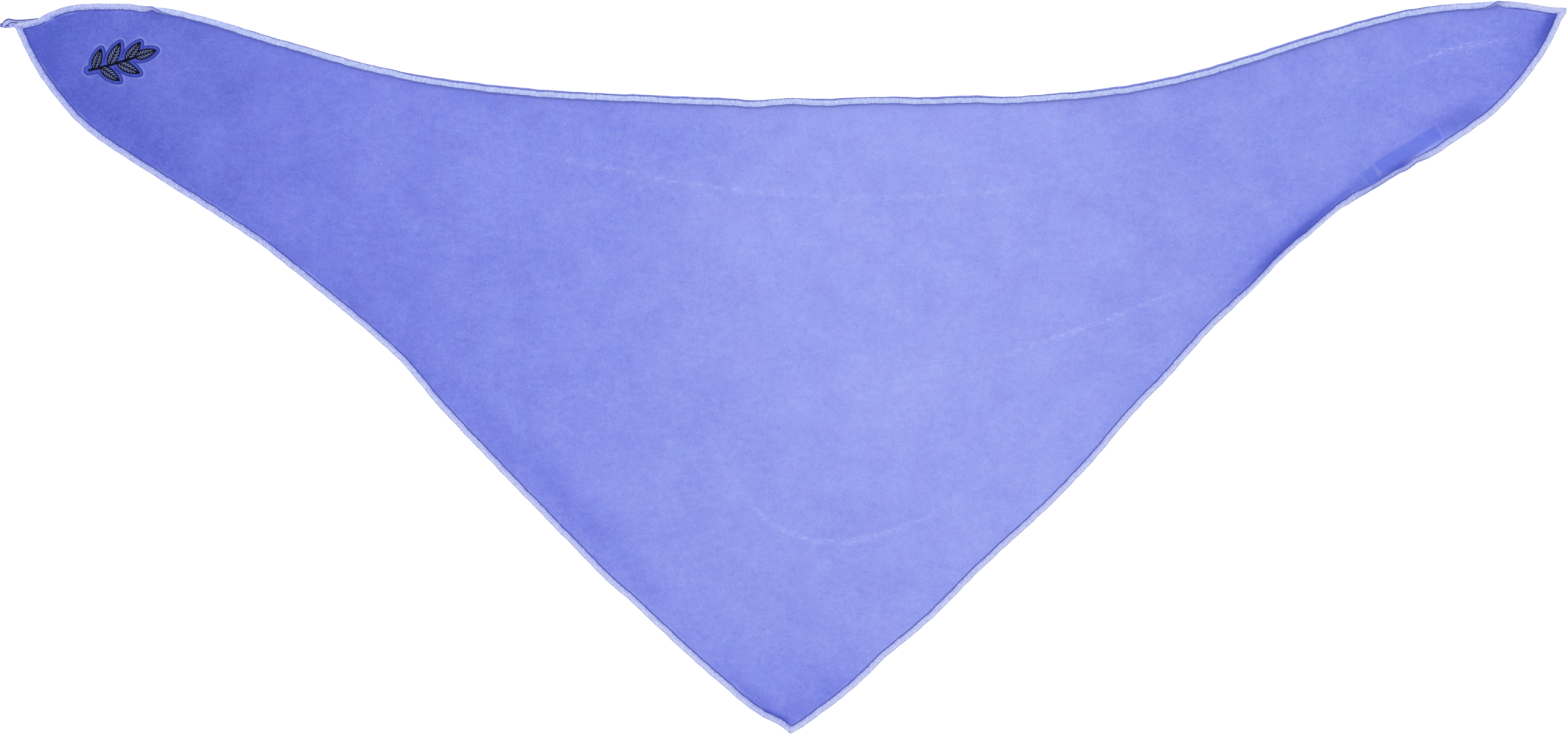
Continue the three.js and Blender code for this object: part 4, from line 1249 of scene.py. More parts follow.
@dataclass
class Sprig:
    """A generic sprig of ribbed leaves: a felted patch, satin fill, and black outlines and veins."""

    plan: Plan
    length: float = 47 * MM
    margin: float = 2.3 * MM
    stem_width: float = 1.6 * MM
    patch: float = 0.55 * MM
    rim: float = 0.5 * MM
    cell: float = 0.28 * MM
    fill_pitch: float = 0.42 * MM
    fill_radius: float = 0.24 * MM
    line_radius: float = 0.39 * MM
    stitch: float = 1.7 * MM
    veins: int = 6

    def __post_init__(self) -> None:
        """Place the sprig and work out its stem and the outlines of its leaves."""
        self.middle = self.plan.spot(*self.plan.motif_at)
        t = np.linspace(0, 1, 60)[:, None]
        a, b, c = np.array(STEM) * self.length
        self.stem = (1 - t) ** 2 * a + 2 * t * (1 - t) * b + t ** 2 * c
        ahead = np.gradient(self.stem, axis=0)
        self.stem_angle = np.arctan2(ahead[:, 1], ahead[:, 0])
        self.top = float(self.plan.ripples(self.middle) + self.plan.crinkle_height + self.plan.cloth)

    def half_width(self, leaf: Leaf, along: Array) -> Array:
        """Half width of a leaf: the same cubic curve as the solid's, read along its length.

        Args:
            leaf: The leaf.
            along: Shares along it.

        Returns:
            The half widths.
        """
        t = np.linspace(0, 1, 80)
        x = 3 * (1 - t) ** 2 * t * 0.1 + 3 * (1 - t) * t ** 2 * 0.62 + t ** 3
        y = 3 * t * (1 - t) * 1.25 * leaf.wide * self.length / 2
        return np.interp(along, x, y)

    def leaf_frame(self, leaf: Leaf) -> tuple[Array, float]:
        """Root of a leaf on the stem, and its direction as an angle.

        Args:
            leaf: The leaf.

        Returns:
            The root, seen from the sprig's middle, and the angle in radians.
        """
        share = np.linspace(0, 1, len(self.stem))
        root = np.array([np.interp(leaf.at, share, self.stem[:, k]) for k in (0, 1)])
        return root, float(np.interp(leaf.at, share, self.stem_angle)) + leaf.side * np.radians(leaf.turn)

    def to_plan(self, leaf: Leaf, along: Array, across: Array) -> Array:
        """Places given by shares along a leaf and distances across it, seen from the sprig's middle.

        Args:
            leaf: The leaf.
            along: Shares along it.
            across: Distances across it.

        Returns:
            The places.
        """
        root, angle = self.leaf_frame(leaf)
        local = np.stack(np.broadcast_arrays(along * leaf.long * self.length, across), -1)
        return root + turned(local, angle)

    def distance(self, place: Array) -> Array:
        """Distance of places, seen from the sprig's middle, to the nearest stem or leaf, below 0 inside.

        A leaf is read as a row of discs along its midrib, each as wide as the leaf is there.

        Args:
            place: The places.

        Returns:
            The distances.
        """
        gap = np.min(np.hypot(
            place[..., None, 0] - self.stem[:, 0], place[..., None, 1] - self.stem[:, 1],
        ), -1) - self.stem_width / 2
        for leaf in LEAVES:
            root, angle = self.leaf_frame(leaf)
            local = turned(place - root, -angle)
            long = leaf.long * self.length
            t = np.linspace(0.01, 0.99, 40)
            half = self.half_width(leaf, t)
            spine = np.hypot(local[..., None, 0] - t * long, local[..., None, 1]) - 0.96 * half
            gap = np.minimum(gap, spine.min(-1))
        return gap

    def lay(self, place: Array, height: Array) -> Array:
        """Put places, seen from the sprig's middle, on the cloth at a height above it."""
        plan = self.middle + place
        return np.concatenate((plan, np.broadcast_to(self.top + height, plan.shape[:-1])[..., None]), -1)

    def build_patch(self) -> bpy.types.Object:
        """Make the patch: a plate over every cell within the margin, its rim drawn onto the outline.

        Returns:
            The patch.
        """
        reach = self.length / 2 + 2 * self.margin
        x = np.arange(-reach, reach, self.cell)
        y = np.arange(-reach * 0.72, reach * 0.72, self.cell)
        place = np.stack(np.meshgrid(x, y, indexing="ij"), -1)
        gap = self.distance(place) - self.margin
        slope = np.stack(np.gradient(gap, self.cell), -1)
        slope /= np.maximum(np.linalg.norm(slope, axis=-1, keepdims=True), 0.3)
        inside = gap < 0.35 * self.cell
        cells = inside[:-1, :-1] & inside[1:, :-1] & inside[:-1, 1:] & inside[1:, 1:]
        used = np.zeros_like(inside)
        for i in (0, 1):
            for j in (0, 1):
                used[i:len(x) - 1 + i, j:len(y) - 1 + j] |= cells
        full = np.ones_like(inside)
        full[1:-1, 1:-1] = cells[1:, 1:] & cells[:-1, 1:] & cells[1:, :-1] & cells[:-1, :-1]
        rim = used & ~full
        place = place - np.where(rim, gap, 0)[..., None] * slope
        depth = np.where(rim, 0, -gap)
        crown = self.patch * np.sqrt(np.clip(1 - (1 - np.clip(depth / self.rim, 0, 1)) ** 2, 0.12, 1))
        sunk = 0.22 * MM * np.exp(-((depth - 0.5 * MM) / (0.22 * MM)) ** 2)
        draft = Draft()
        number = np.full(inside.shape, -1)
        upper = draft.add(self.lay(place, crown - sunk)[used], edge=depth[used])
        lower = draft.add(self.lay(place, np.full(inside.shape, -0.2 * MM))[used], edge=depth[used])
        number[used] = np.arange(used.sum())
        corners = np.stack((number[:-1, :-1], number[1:, :-1], number[1:, 1:], number[:-1, 1:]), -1)[cells]
        draft.polygons(upper[corners])
        draft.polygons(lower[corners], flip=True)
        sides = np.stack((corners, np.roll(corners, -1, 1)), -1).reshape(-1, 2)
        key = sides.min(1) * len(upper) + sides.max(1)
        _, first, uses = np.unique(key, return_index=True, return_counts=True)
        border = sides[first[uses == 1]]
        draft.polygons(np.stack((upper[border[:, 1]], upper[border[:, 0]], lower[border[:, 0]],
                                 lower[border[:, 1]]), -1))
        return draft.build("motif_felt_patch")

    def build_fill(self) -> bpy.types.Object:
        """Make the satin fill: from each leaf's midrib, threads slant out to its rim on both sides.

        Returns:
            The fill.
        """
        draft = Draft()
        for leaf in LEAVES:
            long = leaf.long * self.length
            count = int(long / self.fill_pitch)
            start = np.linspace(0.04, 0.9, count)
            for side in (-1, 1):
                step = np.linspace(0, 1, 6)[None, :]
                end = np.minimum(start + 0.16, 0.985)[:, None]
                along = start[:, None] * (1 - step) + end * step
                across = side * step * (self.half_width(leaf, end) - 0.15 * MM)
                height = self.patch + 0.1 * MM + 0.3 * MM * np.sin(np.pi * (0.15 + 0.7 * step))
                path = self.lay(self.to_plan(leaf, along, across), np.broadcast_to(height, along.shape))
                strands(draft, path, self.fill_radius, 6, 0.8)
        return draft.build("motif_satin_fill")

    def stitch_row(self, draft: Draft, line: Array, height: float, radius: float) -> None:
        """Sew a row of short overlapping stitches along a line seen from the sprig's middle.

        Args:
            draft: The mesh that takes them.
            line: Points of the line.
            height: Height above the cloth.
            radius: Radius of the thread.
        """
        run = np.concatenate(([0], np.cumsum(np.linalg.norm(np.diff(line, axis=0), axis=1))))
        count = max(2, int(round(run[-1] / self.stitch)))
        start = np.arange(count)[:, None] / count * run[-1]
        step = np.linspace(-0.12, 1.12, 7)[None, :]
        at = np.clip(start + step * run[-1] / count, 0, run[-1])
        place = np.stack([np.interp(at, run, line[:, k]) for k in (0, 1)], -1)
        lean = np.where(np.arange(count) % 2, 1, -1)[:, None, None]
        ahead = place[:, -1:] - place[:, :1]
        ahead = ahead / np.maximum(np.linalg.norm(ahead, axis=-1, keepdims=True), 1e-9)
        side = np.stack((-ahead[..., 1], ahead[..., 0]), -1)
        place = place + side * lean * 0.05 * MM * (2 * np.linspace(0, 1, 7)[None, :, None] - 1)
        swell = np.array((0.35, 0.8, 1, 1, 1, 0.8, 0.35))
        arch = 0.14 * MM * np.sin(np.pi * np.linspace(0, 1, 7))
        path = self.lay(place, height + arch + 0 * at)
        jitter = 1e-7 * np.arange(7)[None, :, None] * np.array((1.0, 0.3, 0.0))
        strands(draft, path + jitter, radius * swell, 6)

    def build_lines(self) -> bpy.types.Object:
        """Make the black lines: each leaf's outline, midrib and slanting veins, and the stem's two sides.

        Returns:
            The lines.
        """
        draft = Draft()
        high = self.patch + 0.42 * MM
        for leaf in LEAVES:
            along = np.linspace(0.0, 1, 60)
            half = self.half_width(leaf, along)
            sides = self.to_plan(leaf, along, half), self.to_plan(leaf, along[::-1], -half[::-1])
            self.stitch_row(draft, np.concatenate(sides), high, self.line_radius)
            midrib = self.to_plan(leaf, along * 0.94, 0 * along)
            self.stitch_row(draft, midrib, high + 0.1 * MM, self.line_radius)
            for side in (-1, 1):
                for start in np.linspace(0.12, 0.74, self.veins):
                    end = start + 0.17
                    step = np.linspace(0, 1, 12)
                    half = float(self.half_width(leaf, end)) - 0.1 * MM
                    vein = self.to_plan(leaf, start + (end - start) * step, side * step ** 0.9 * half)
                    self.stitch_row(draft, vein, high + 0.06 * MM, 0.72 * self.line_radius)
        ahead = np.stack((np.cos(self.stem_angle), np.sin(self.stem_angle)), -1)
        side = np.stack((-ahead[:, 1], ahead[:, 0]), -1)
        for sign in (-1, 1):
            self.stitch_row(draft, self.stem + sign * side * 0.32 * MM, high, self.line_radius)
        return draft.build("motif_black_stitching")

    def make(self) -> None:
        """Build and dress the patch, its fill and its lines."""
        dress(self.build_patch(), Slot.GROUND, FeltGround().material(), "motif_patch")
        dress(self.build_fill(), Slot.EMBROIDERY, SATIN_THREAD.material(), "motif_stitching")
        dress(self.build_lines(), Slot.EMBROIDERY, BLACK_THREAD.material())


@dataclass
class ClothPanel:
    """The one cut of cloth, with both faces and the folded long edge, as fine as its hems need."""

    plan: Plan
    sprig: Sprig
    step: float = 2.6 * MM
    fine_step: float = 0.85 * MM
    rows: int = 108
    back_columns: int = 4
    back_rows: int = 27
    pressed_width: float = 9 * MM

    def columns(self) -> Array:
        """Shares along the long edge at which columns stand: even, and closer by the motif and the label.

        Returns:
            The shares, with the middle among them and as many steps as the back's coarser grid needs.
        """
        plan = self.plan
        start, end = plan.top.start[0], plan.top.end[0]
        shares = [np.linspace(0, 1, int(plan.top.length / self.step))]
        label_reach = 0.62 * (plan.label_size[0] + plan.tag_size[0] + plan.tag_gap)
        for spot, reach in ((self.sprig.middle, 0.6 * self.sprig.length),
                            (plan.spot(*plan.label_at), label_reach)):
            share = (spot[0] - start + np.array((-reach, reach))) / (end - start)
            low, high = np.clip(share, 0.004, 0.996)
            shares[0] = shares[0][(shares[0] < low) | (shares[0] > high)]
            shares.append(np.linspace(low, high, int(2 * reach / self.fine_step)))
        shares = np.sort(np.concatenate(shares))
        half = shares[np.argmin(np.abs(shares - 0.5))]
        shares = np.where(shares == half, 0.5, shares)
        spare = (len(shares) - 1) % self.back_columns
        if spare:
            gaps = np.argsort(np.diff(shares))[::-1][:self.back_columns - spare]
            shares = np.sort(np.concatenate((shares, (shares[gaps] + shares[gaps + 1]) / 2)))
        return shares

    def loop(self, shares: Array) -> list[tuple[Edge, Array]]:
        """Stations round the outline, clockwise from the left tip, as lengths along each edge.

        Args:
            shares: Shares along the long edge.

        Returns:
            Each edge with the lengths of its stations.
        """
        plan = self.plan
        right = shares[shares >= 0.5][::-1]
        left = shares[shares < 0.5][::-1]
        return [
            (plan.top, shares * plan.top.length),
            (plan.right, (1 - right[1:]) * 2 * plan.right.length),
            (plan.left, left[:-1] * 2 * plan.left.length),
        ]

    def bell(self, cloud: Cloud, place: Array) -> Array:
        """A cloud's gain at each place: a Gaussian bell, turned, and as long and wide as the cloud."""
        local = turned(place - self.plan.spot(cloud.x, cloud.y), -np.radians(cloud.turn)) / self.plan.width
        return cloud.gain * np.exp(-np.sum((local / (cloud.long, cloud.wide)) ** 2, -1))

    def wash(self, place: Array) -> Array:
        """How pale the cloth is: a run along the length, and soft clouds on it, of which the narrow dark ones
        are painted shade.

        Args:
            place: Plan places.

        Returns:
            The level, 0 where the colour is deep and 1 where it is pale.
        """
        plan = self.plan
        level = smooth_value(PALENESS, np.clip(0.5 + (place[..., 0] - plan.shift[0]) / plan.width, 0, 1))
        for cloud in CLOUDS:
            level = level + self.bell(cloud, place)
        return level

    def shade(self, place: Array) -> Array:
        """How dark the painted shade of the narrow folds is at each place: the deepest of their bells."""
        return np.max([self.bell(shade, place) for shade in SHADES], 0)

    def halo(self, place: Array) -> Array:
        """Painted highlight round the patch: a thin pale line along its raised rim, strongest off the sprig's
        ends.

        Args:
            place: Plan places.

        Returns:
            A bell across the line, times a bell round the nearest end.
        """
        sprig = self.sprig
        local = place - sprig.middle
        near = np.hypot(local[..., 0], local[..., 1]) < 0.8 * sprig.length
        ends = np.stack([sprig.to_plan(leaf, 1.0, 0.0) for leaf in LEAVES] + [sprig.stem[0]])
        off = np.linalg.norm(local[near][:, None] - ends, axis=-1).min(-1)
        gap = sprig.distance(local[near]) - sprig.margin
        halo = np.zeros(place.shape[:-1])
        strength = 0.1 + 0.6 * np.exp(-(off / (4 * MM)) ** 2)
        halo[near] = strength * np.exp(-((gap - 0.5 * MM) / (0.7 * MM)) ** 2)
        return halo

    def crease(self, place: Array) -> Array:
        """Distance to the nearest worn crease, to one side or the other, and how worn that crease is there.

        The creases are quadratic arcs a(1-t)^2 + 2bt(1-t) + ct^2, and their wear is the sine of pi t.

        Args:
            place: Plan places.

        Returns:
            Distance, wear and 0 as the last axis.
        """
        t = np.linspace(0, 1, 41)[:, None]
        nearest = np.full(place.shape[:-1], 1.0)
        wear_and_highlight = np.zeros(place.shape[:-1])
        for crease in CREASES:
            first, middle, last = (self.plan.spot(*spot) for spot in crease)
            bend = 2 * middle - (first + last) / 2
            line = first * (1 - t) ** 2 + 2 * bend * t * (1 - t) + last * t ** 2
            ahead = np.gradient(line, axis=0)
            ahead /= np.linalg.norm(ahead, axis=1, keepdims=True)
            away = place[..., None, :] - line
            at = np.argmin(np.sum(away ** 2, -1), -1)
            off = np.take_along_axis(away, at[..., None, None], -2)[..., 0, :]
            side = ahead[at][..., 0] * off[..., 1] - ahead[at][..., 1] * off[..., 0]
            closer = np.linalg.norm(off, axis=-1) < np.abs(nearest)
            nearest = np.where(closer, side, nearest)
            fade = 1 - eased(np.linalg.norm(off, axis=-1) / (9 * MM))
            wear_and_highlight = np.where(closer, fade * np.sin(np.pi * t[at][..., 0]), wear_and_highlight)
        return np.stack((nearest, wear_and_highlight, 0 * wear_and_highlight), -1)

    def extras(self, place: Array, seam: Array, fold: Array | float = 0.0) -> dict[str, Array]:
        """Attributes of the cloth at plan places: paleness with painted shade, painted highlight round the
        patch, pressed label, crease, painted shade of the folds, seam and fold.

        Args:
            place: Plan places.
            seam: Distance inwards from the seam.
            fold: How far the cloth is folded over, as a share of a half turn.

        Returns:
            The attributes by name.
        """
        return {
            "wash": self.wash(place), "halo": self.halo(place), "pressed": self.pressed(place),
            "crease": self.crease(place), "shade": self.shade(place), "seam": seam,
            "fold": np.broadcast_to(fold, seam.shape),
        }

    def pressed(self, place: Array) -> Array:
        """How far the label and, more faintly, its tag are pressed through, easing to 0 round their rims.

        Args:
            place: Plan places.

        Returns:
            The deeper of the two at each place.
        """
        plan = self.plan
        local = plan.label_local(place)
        level = np.zeros(place.shape[:-1])
        for middle, shift, length, depth in (
            (0.0, 0.55 * MM, plan.label_size[0], 1.0), (plan.tag_at, -0.9 * MM, plan.tag_size[0], 0.75),
        ):
            past = np.maximum(np.abs(local[..., 0] - middle) - length / 2,
                              np.abs(local[..., 1] - shift) - self.pressed_width / 2)
            level = np.maximum(level, depth * (1 - eased((past + 0.3 * MM) / (1.5 * MM))))
        return level

    def build(self) -> bpy.types.Object:
        """Make the cloth as one closed mesh.

        The hem strips are cross-sections swept round the outline. Inside them each face is a grid whose
        columns join the long edge to the short edges opposite. The back's grid is coarser, because it is
        smooth, and every fourth station of its hem meets it.

        Returns:
            The cloth.
        """
        plan, draft = self.plan, Draft()
        shares = self.columns()
        loop = self.loop(shares)
        bends = np.array((0, 0.2, 0.38, 0.54, 0.68, 0.8, 0.9, 1.0)) * plan.bend
        seam_at = plan.bend + plan.bend_clear
        tail = np.array((0.15 * MM, plan.bend_clear, plan.bend_clear + 0.4 * MM)) + plan.bend
        outs = np.concatenate((bends, tail, [plan.bend + plan.flap - plan.thread - plan.gap]))
        skins = {}
        for face in Face:
            rings = []
            for edge, run in loop:
                start = plan.bend_start(edge.turn(run), edge.slack(run))[:, None]
                inner = (start - plan.hem_zone) * np.array((1, 0.66, 0.33))
                out = np.concatenate((inner, np.broadcast_to(outs, (len(run), len(outs)))), 1)
                seam = seam_at - out
                fold = np.clip(out / plan.bend, 0, 1) * edge.turn(run)[:, None] / np.pi
                dent = 0.1 * MM * np.exp(-((seam - 0.1 * MM) / (0.4 * MM)) ** 2)
                ridge = 0.06 * MM * np.exp(-((seam - 1.2 * MM) / (0.7 * MM)) ** 2)
                thick = plan.cloth / 2 - np.where(face is Face.FRONT, dent - ridge, 0)
                points = plan.section(edge, run[:, None], out, face.value * thick)
                rings.append((points, seam, fold))
            points, seam, fold = (np.concatenate(parts) for parts in zip(*rings))
            skins[face] = draft.add(points, **self.extras(points[..., :2], seam, fold))
        front, back = skins[Face.FRONT], skins[Face.BACK]
        closed = [np.concatenate((skin, skin[:1])) for skin in (front, back)]
        draft.grid(closed[0], flip=True)
        draft.grid(closed[1])
        draft.grid(np.stack((closed[0][:, -1], closed[1][:, -1]), 1), flip=True)
        count = len(shares)
        self.inner_skin(draft, front[:, 0], count, 1, self.rows, Face.FRONT)
        self.inner_skin(draft, back[:, 0], count, self.back_columns, self.back_rows, Face.BACK)
        return draft.build("cloth")

    def inner_skin(self, draft: Draft, ring: Array, count: int, stride: int, rows: int, face: Face) -> None:
        """Skin the field inside the hem strips, between the long edge's stations and those opposite.

        Args:
            draft: The mesh that takes it.
            ring: Point numbers round the hem's inner line, clockwise from the left tip.
            count: How many of them lie on the long edge.
            stride: Take every so many stations, and close the step at the rim with triangles.
            rows: Rows from the long edge to the short ones.
            face: Which face of the cloth it is.
        """
        plan = self.plan
        points = np.concatenate(draft.points)[:draft.count]
        upper = ring[:count]
        lower = np.concatenate((upper[-1:], ring[count:], upper[:1]))[::-1]
        top, low = upper[::stride], lower[::stride]
        a, b = points[top][:, None, :2], points[low][:, None, :2]
        depth = ((1 - np.cos(np.pi * np.arange(1, rows) / rows)) / 2)[None, :, None]
        place = a * (1 - depth) + b * depth
        far = np.linalg.norm(b - a, axis=-1)
        gone = depth[..., 0] * far
        back_a, back_b = gone, far - gone
        base = plan.ripples(place) + plan.crinkle(place)
        fade = 14 * MM
        thick = plan.cloth if face is Face.FRONT else 0.0
        rest_a = points[top][:, None, 2] - thick - plan.ripples(a) - plan.crinkle(a)
        rest_b = points[low][:, None, 2] - thick - plan.ripples(b) - plan.crinkle(b)
        lift = np.maximum(rest_a * (1 - eased(back_a / fade)), rest_b * (1 - eased(back_b / fade)))
        imprint = 0.25 * MM * self.pressed(place) * eased(np.minimum(back_a, back_b) / (5 * MM))
        height = base + np.maximum(lift, plan.bed(place)) + thick + (imprint if face is Face.FRONT else 0.0)
        seam = np.minimum(back_a, back_b) + plan.hem_zone - plan.band
        inside = draft.add(np.concatenate((place, height[..., None]), -1)[1:-1], **{
            name: values[1:-1] for name, values in self.extras(place, seam).items()
        })
        pole = np.repeat(ring[[0, count - 1]][:, None], rows - 1, 1)
        inside = np.concatenate((pole[:1], inside, pole[1:]))
        numbers = np.concatenate((top[:, None], inside, low[:, None]), 1)
        front = face is Face.FRONT
        draft.grid(numbers, flip=not front)
        if stride > 1:
            for full, flip in ((upper, front), (lower, not front)):
                groups = full[:-1].reshape(-1, stride)
                fans = np.concatenate((groups, full[stride::stride, None]), 1)
                draft.polygons(fans, flip)

    def make(self) -> bpy.types.Object:
        """Build and dress the cloth.

        Returns:
            The cloth.
        """
        piece = self.build()
        dress(piece, Slot.CLOTH, BrushedCotton().material(), "cloth_panel")
        return piece


@dataclass
class OverlockBand:
    """The overlock thread along one edge: close ribs of thread that wrap the cloth's rim."""

    plan: Plan
    edge: Edge
    side: str
    deep: tuple[Level, ...]
    gaps: tuple[Level, ...]
    needle_radius: float
    pitch: float = 0.9 * MM
    steps: int = 5
    rib: float = 0.08 * MM
    inner_gap: float = 0.03 * MM

    def build_band(self) -> bpy.types.Object:
        """Make the ribbed band: a channel section swept along the edge, swelling with each stitch.

        The swell is a rounded cosine of the stitch count, leaned a little along the edge across the band,
        and each stitch has its own height and reach.

        Returns:
            The band.
        """
        plan, edge = self.plan, self.edge
        count = int(round(edge.length / self.pitch))
        random = np.random.default_rng(len(self.side))
        end_gap = 0.03 * MM
        run = np.linspace(end_gap, edge.length - end_gap, count * self.steps + 1)[:, None]
        rim = plan.bend + plan.flap
        inner = rim - plan.band
        top = plan.band_out - self.rib / 2
        # Place outwards, rise, share of the swell, and 1 where the band is under the cloth
        profile = np.array([
            (inner + 0.15 * MM, plan.cloth / 2 + self.inner_gap, 0.0, 0), (inner, top - 0.26 * MM, 0.3, 0),
            (inner + 0.2 * plan.band, top, 1.0, 0), (inner + 0.5 * plan.band, top, 1.0, 0),
            (inner + 0.75 * plan.band, top, 1.0, 0), (rim - 0.25 * MM, top, 1.0, 0),
            (rim, top - 0.3 * MM, 1.0, 0), (rim, -top + 0.3 * MM, 1.0, 1), (rim - 0.25 * MM, -top, 1.0, 1),
            (inner + 0.75 * plan.band, -top, 1.0, 1), (inner + 0.5 * plan.band, -top, 1.0, 1),
            (inner + 0.2 * plan.band, -top, 1.0, 1), (inner, -top + 0.26 * MM, 0.3, 1),
            (inner + 0.15 * MM, -plan.cloth / 2 - self.inner_gap, 0.0, 1),
            (rim - plan.thread, -plan.cloth / 2 - self.inner_gap, 0.0, 1),
            (rim - plan.thread, plan.cloth / 2 + self.inner_gap, 0.0, 0),
        ])
        out, rise, share, under = (profile[None, :, k] for k in range(4))
        across = (rim - out) / plan.band
        stitch = run / self.pitch + 0.3 * across
        whole = np.clip(np.floor(stitch + 0.5).astype(int), 0, count + 1)
        height = random.uniform(0.3, 1.0, count + 2)[whole]
        reach = random.uniform(-0.14, 0.14, count + 2)[whole] * MM
        swell = self.rib * share * height * (0.5 + 0.5 * np.cos(2 * np.pi * stitch)) ** 0.7
        level = np.sign(rise) * swell * (np.abs(rise) > top - 0.2 * MM)
        jag = reach * share * (0.3 + 0.7 * edge.turn(run) / np.pi)
        away = np.where(out > rim - 0.3 * MM, swell + jag, np.where(out < inner + 0.1 * MM, -reach, 0))
        away = np.where(share > 0, away, 0)
        points = plan.section(edge, run, out + away, rise + level)
        deep, gaps = (np.broadcast_to(stepped_value(table, run / edge.length), stitch.shape)
                      for table in (self.deep, self.gaps))
        thread = np.stack(np.broadcast_arrays(stitch, across, under + 0 * stitch), -1)
        draft = Draft()
        numbers = draft.add(points, thread=thread, deep=deep, gaps=gaps)
        draft.grid(numbers, wrap=True, flip=edge.out_side < 0)
        # Triangles and quads that close the channel's end, by the profile's own numbers
        arms = ((0, 1, 2, 3), (0, 3, 15, 15), (3, 4, 5, 15), (5, 6, 15, 15), (6, 7, 14, 15), (7, 8, 14, 14),
                (8, 9, 10, 14), (10, 13, 14, 14), (10, 11, 12, 13))
        for ring, flip in ((numbers[0], edge.out_side > 0), (numbers[-1], edge.out_side < 0)):
            draft.polygons(ring[np.array(arms)], flip=flip)
        return draft.build(f"overlock_{self.side}")

    def build_needle(self) -> bpy.types.Object:
        """Make the needle line: a row of short sunk stitches at the band's inner rim, on both faces.

        Returns:
            The needle line.
        """
        plan, edge = self.plan, self.edge
        length = self.pitch
        count = int(edge.length / length) - 2
        start = (np.arange(count)[:, None] + 1) * length
        step = np.linspace(0.02, 0.98, 5)[None, :]
        run = start + step * length
        arch = np.sin(np.pi * step)
        uneven = np.random.default_rng(count).uniform(0.65, 1.1, (count, 1))
        draft = Draft()
        for face in Face:
            out = plan.bend + plan.bend_clear - 0.12 * MM + 0.06 * MM * arch
            rise = face.value * (plan.cloth / 2 - 0.04 * MM + 0.2 * MM * arch)
            path = plan.section(edge, run, np.broadcast_to(out, run.shape), np.broadcast_to(rise, run.shape))
            strands(draft, path, self.needle_radius * uneven * (0.45 + 0.55 * arch), 6)
        return draft.build(f"needle_line_{self.side}")

    def make(self, band: bpy.types.Material, needle: bpy.types.Material) -> list[bpy.types.Object]:
        """Build and dress the band and its needle line.

        Args:
            band: Finish of the overlock thread.
            needle: Finish of the needle thread.

        Returns:
            The two pieces.
        """
        pieces = [self.build_band(), self.build_needle()]
        dress(pieces[0], Slot.THREAD, band, f"overlock_edge_{self.side}")
        dress(pieces[1], Slot.THREAD, needle)
        return pieces


@dataclass
class Ribbon:
    """A short flat ribbon of overlock stitches, swept along the cross-sections of its table."""

    plan: Plan
    name: str
    rungs: tuple[Rung, ...]
    thick: float
    deep: float
    gaps: float
    slant: float = 0.5
    pitch: float = 0.9 * MM
    sides: int = 20
    steps: int = 6

    def build(self) -> bpy.types.Object:
        """Make the ribbon: an oval ring swept along its rungs, which swells a little with each stitch.

        Returns:
            The ribbon.
        """
        table = np.array([(*self.plan.spot(r.x, r.y), r.half * MM, r.height * MM) for r in self.rungs])
        step = np.concatenate(([0], np.cumsum(np.linalg.norm(np.diff(table[:, :2], axis=0), axis=1))))
        share = np.linspace(0, 1, int(step[-1] / self.pitch * self.steps) + 1)
        x, y, half, height = (smooth_value(tuple(zip(step / step[-1], column)), share) for column in table.T)
        half = np.maximum(half, 0.05 * MM)
        run = share * step[-1]
        ahead = np.stack((np.gradient(x), np.gradient(y)), -1)
        ahead /= np.linalg.norm(ahead, axis=1, keepdims=True)
        angle = 2 * np.pi * np.arange(self.sides) / self.sides
        across = 0.5 - 0.5 * np.cos(angle)
        stitch = run[:, None] / self.pitch + self.slant * across
        rib = 1 + 0.05 * np.cos(2 * np.pi * stitch)
        normal = np.stack((-ahead[:, 1], ahead[:, 0]), -1)[:, None]
        place = np.stack((x, y), -1)[:, None] + (half[:, None] * rib * np.cos(angle))[..., None] * normal
        round_off = np.sqrt(np.clip(half / half.max() * 1.6, 0.1, 1))[:, None]
        oval = np.sign(np.sin(angle)) * np.abs(np.sin(angle)) ** 0.6
        rise = np.maximum(height[:, None] + self.thick / 2 * round_off * rib * oval, 0.02 * MM)
        points = np.concatenate((place, rise[..., None]), -1)
        thread = np.stack(np.broadcast_arrays(stitch, across, 0 * stitch), -1)
        draft = Draft()
        numbers = draft.add(points, thread=thread, deep=np.full(stitch.shape, self.deep),
                            gaps=np.full(stitch.shape, self.gaps))
        draft.grid(numbers, wrap=True)
        draft.polygons(numbers[:1], flip=True)
        draft.polygons(numbers[-1:])
        return draft.build(self.name)

    def make(self, finish: bpy.types.Material, *nodes: str) -> bpy.types.Object:
        """Build and dress the ribbon.

        Args:
            finish: Its material.
            nodes: Names of the solids that it replaces.

        Returns:
            The ribbon.
        """
        piece = self.build()
        dress(piece, Slot.THREAD, finish, *nodes)
        return piece


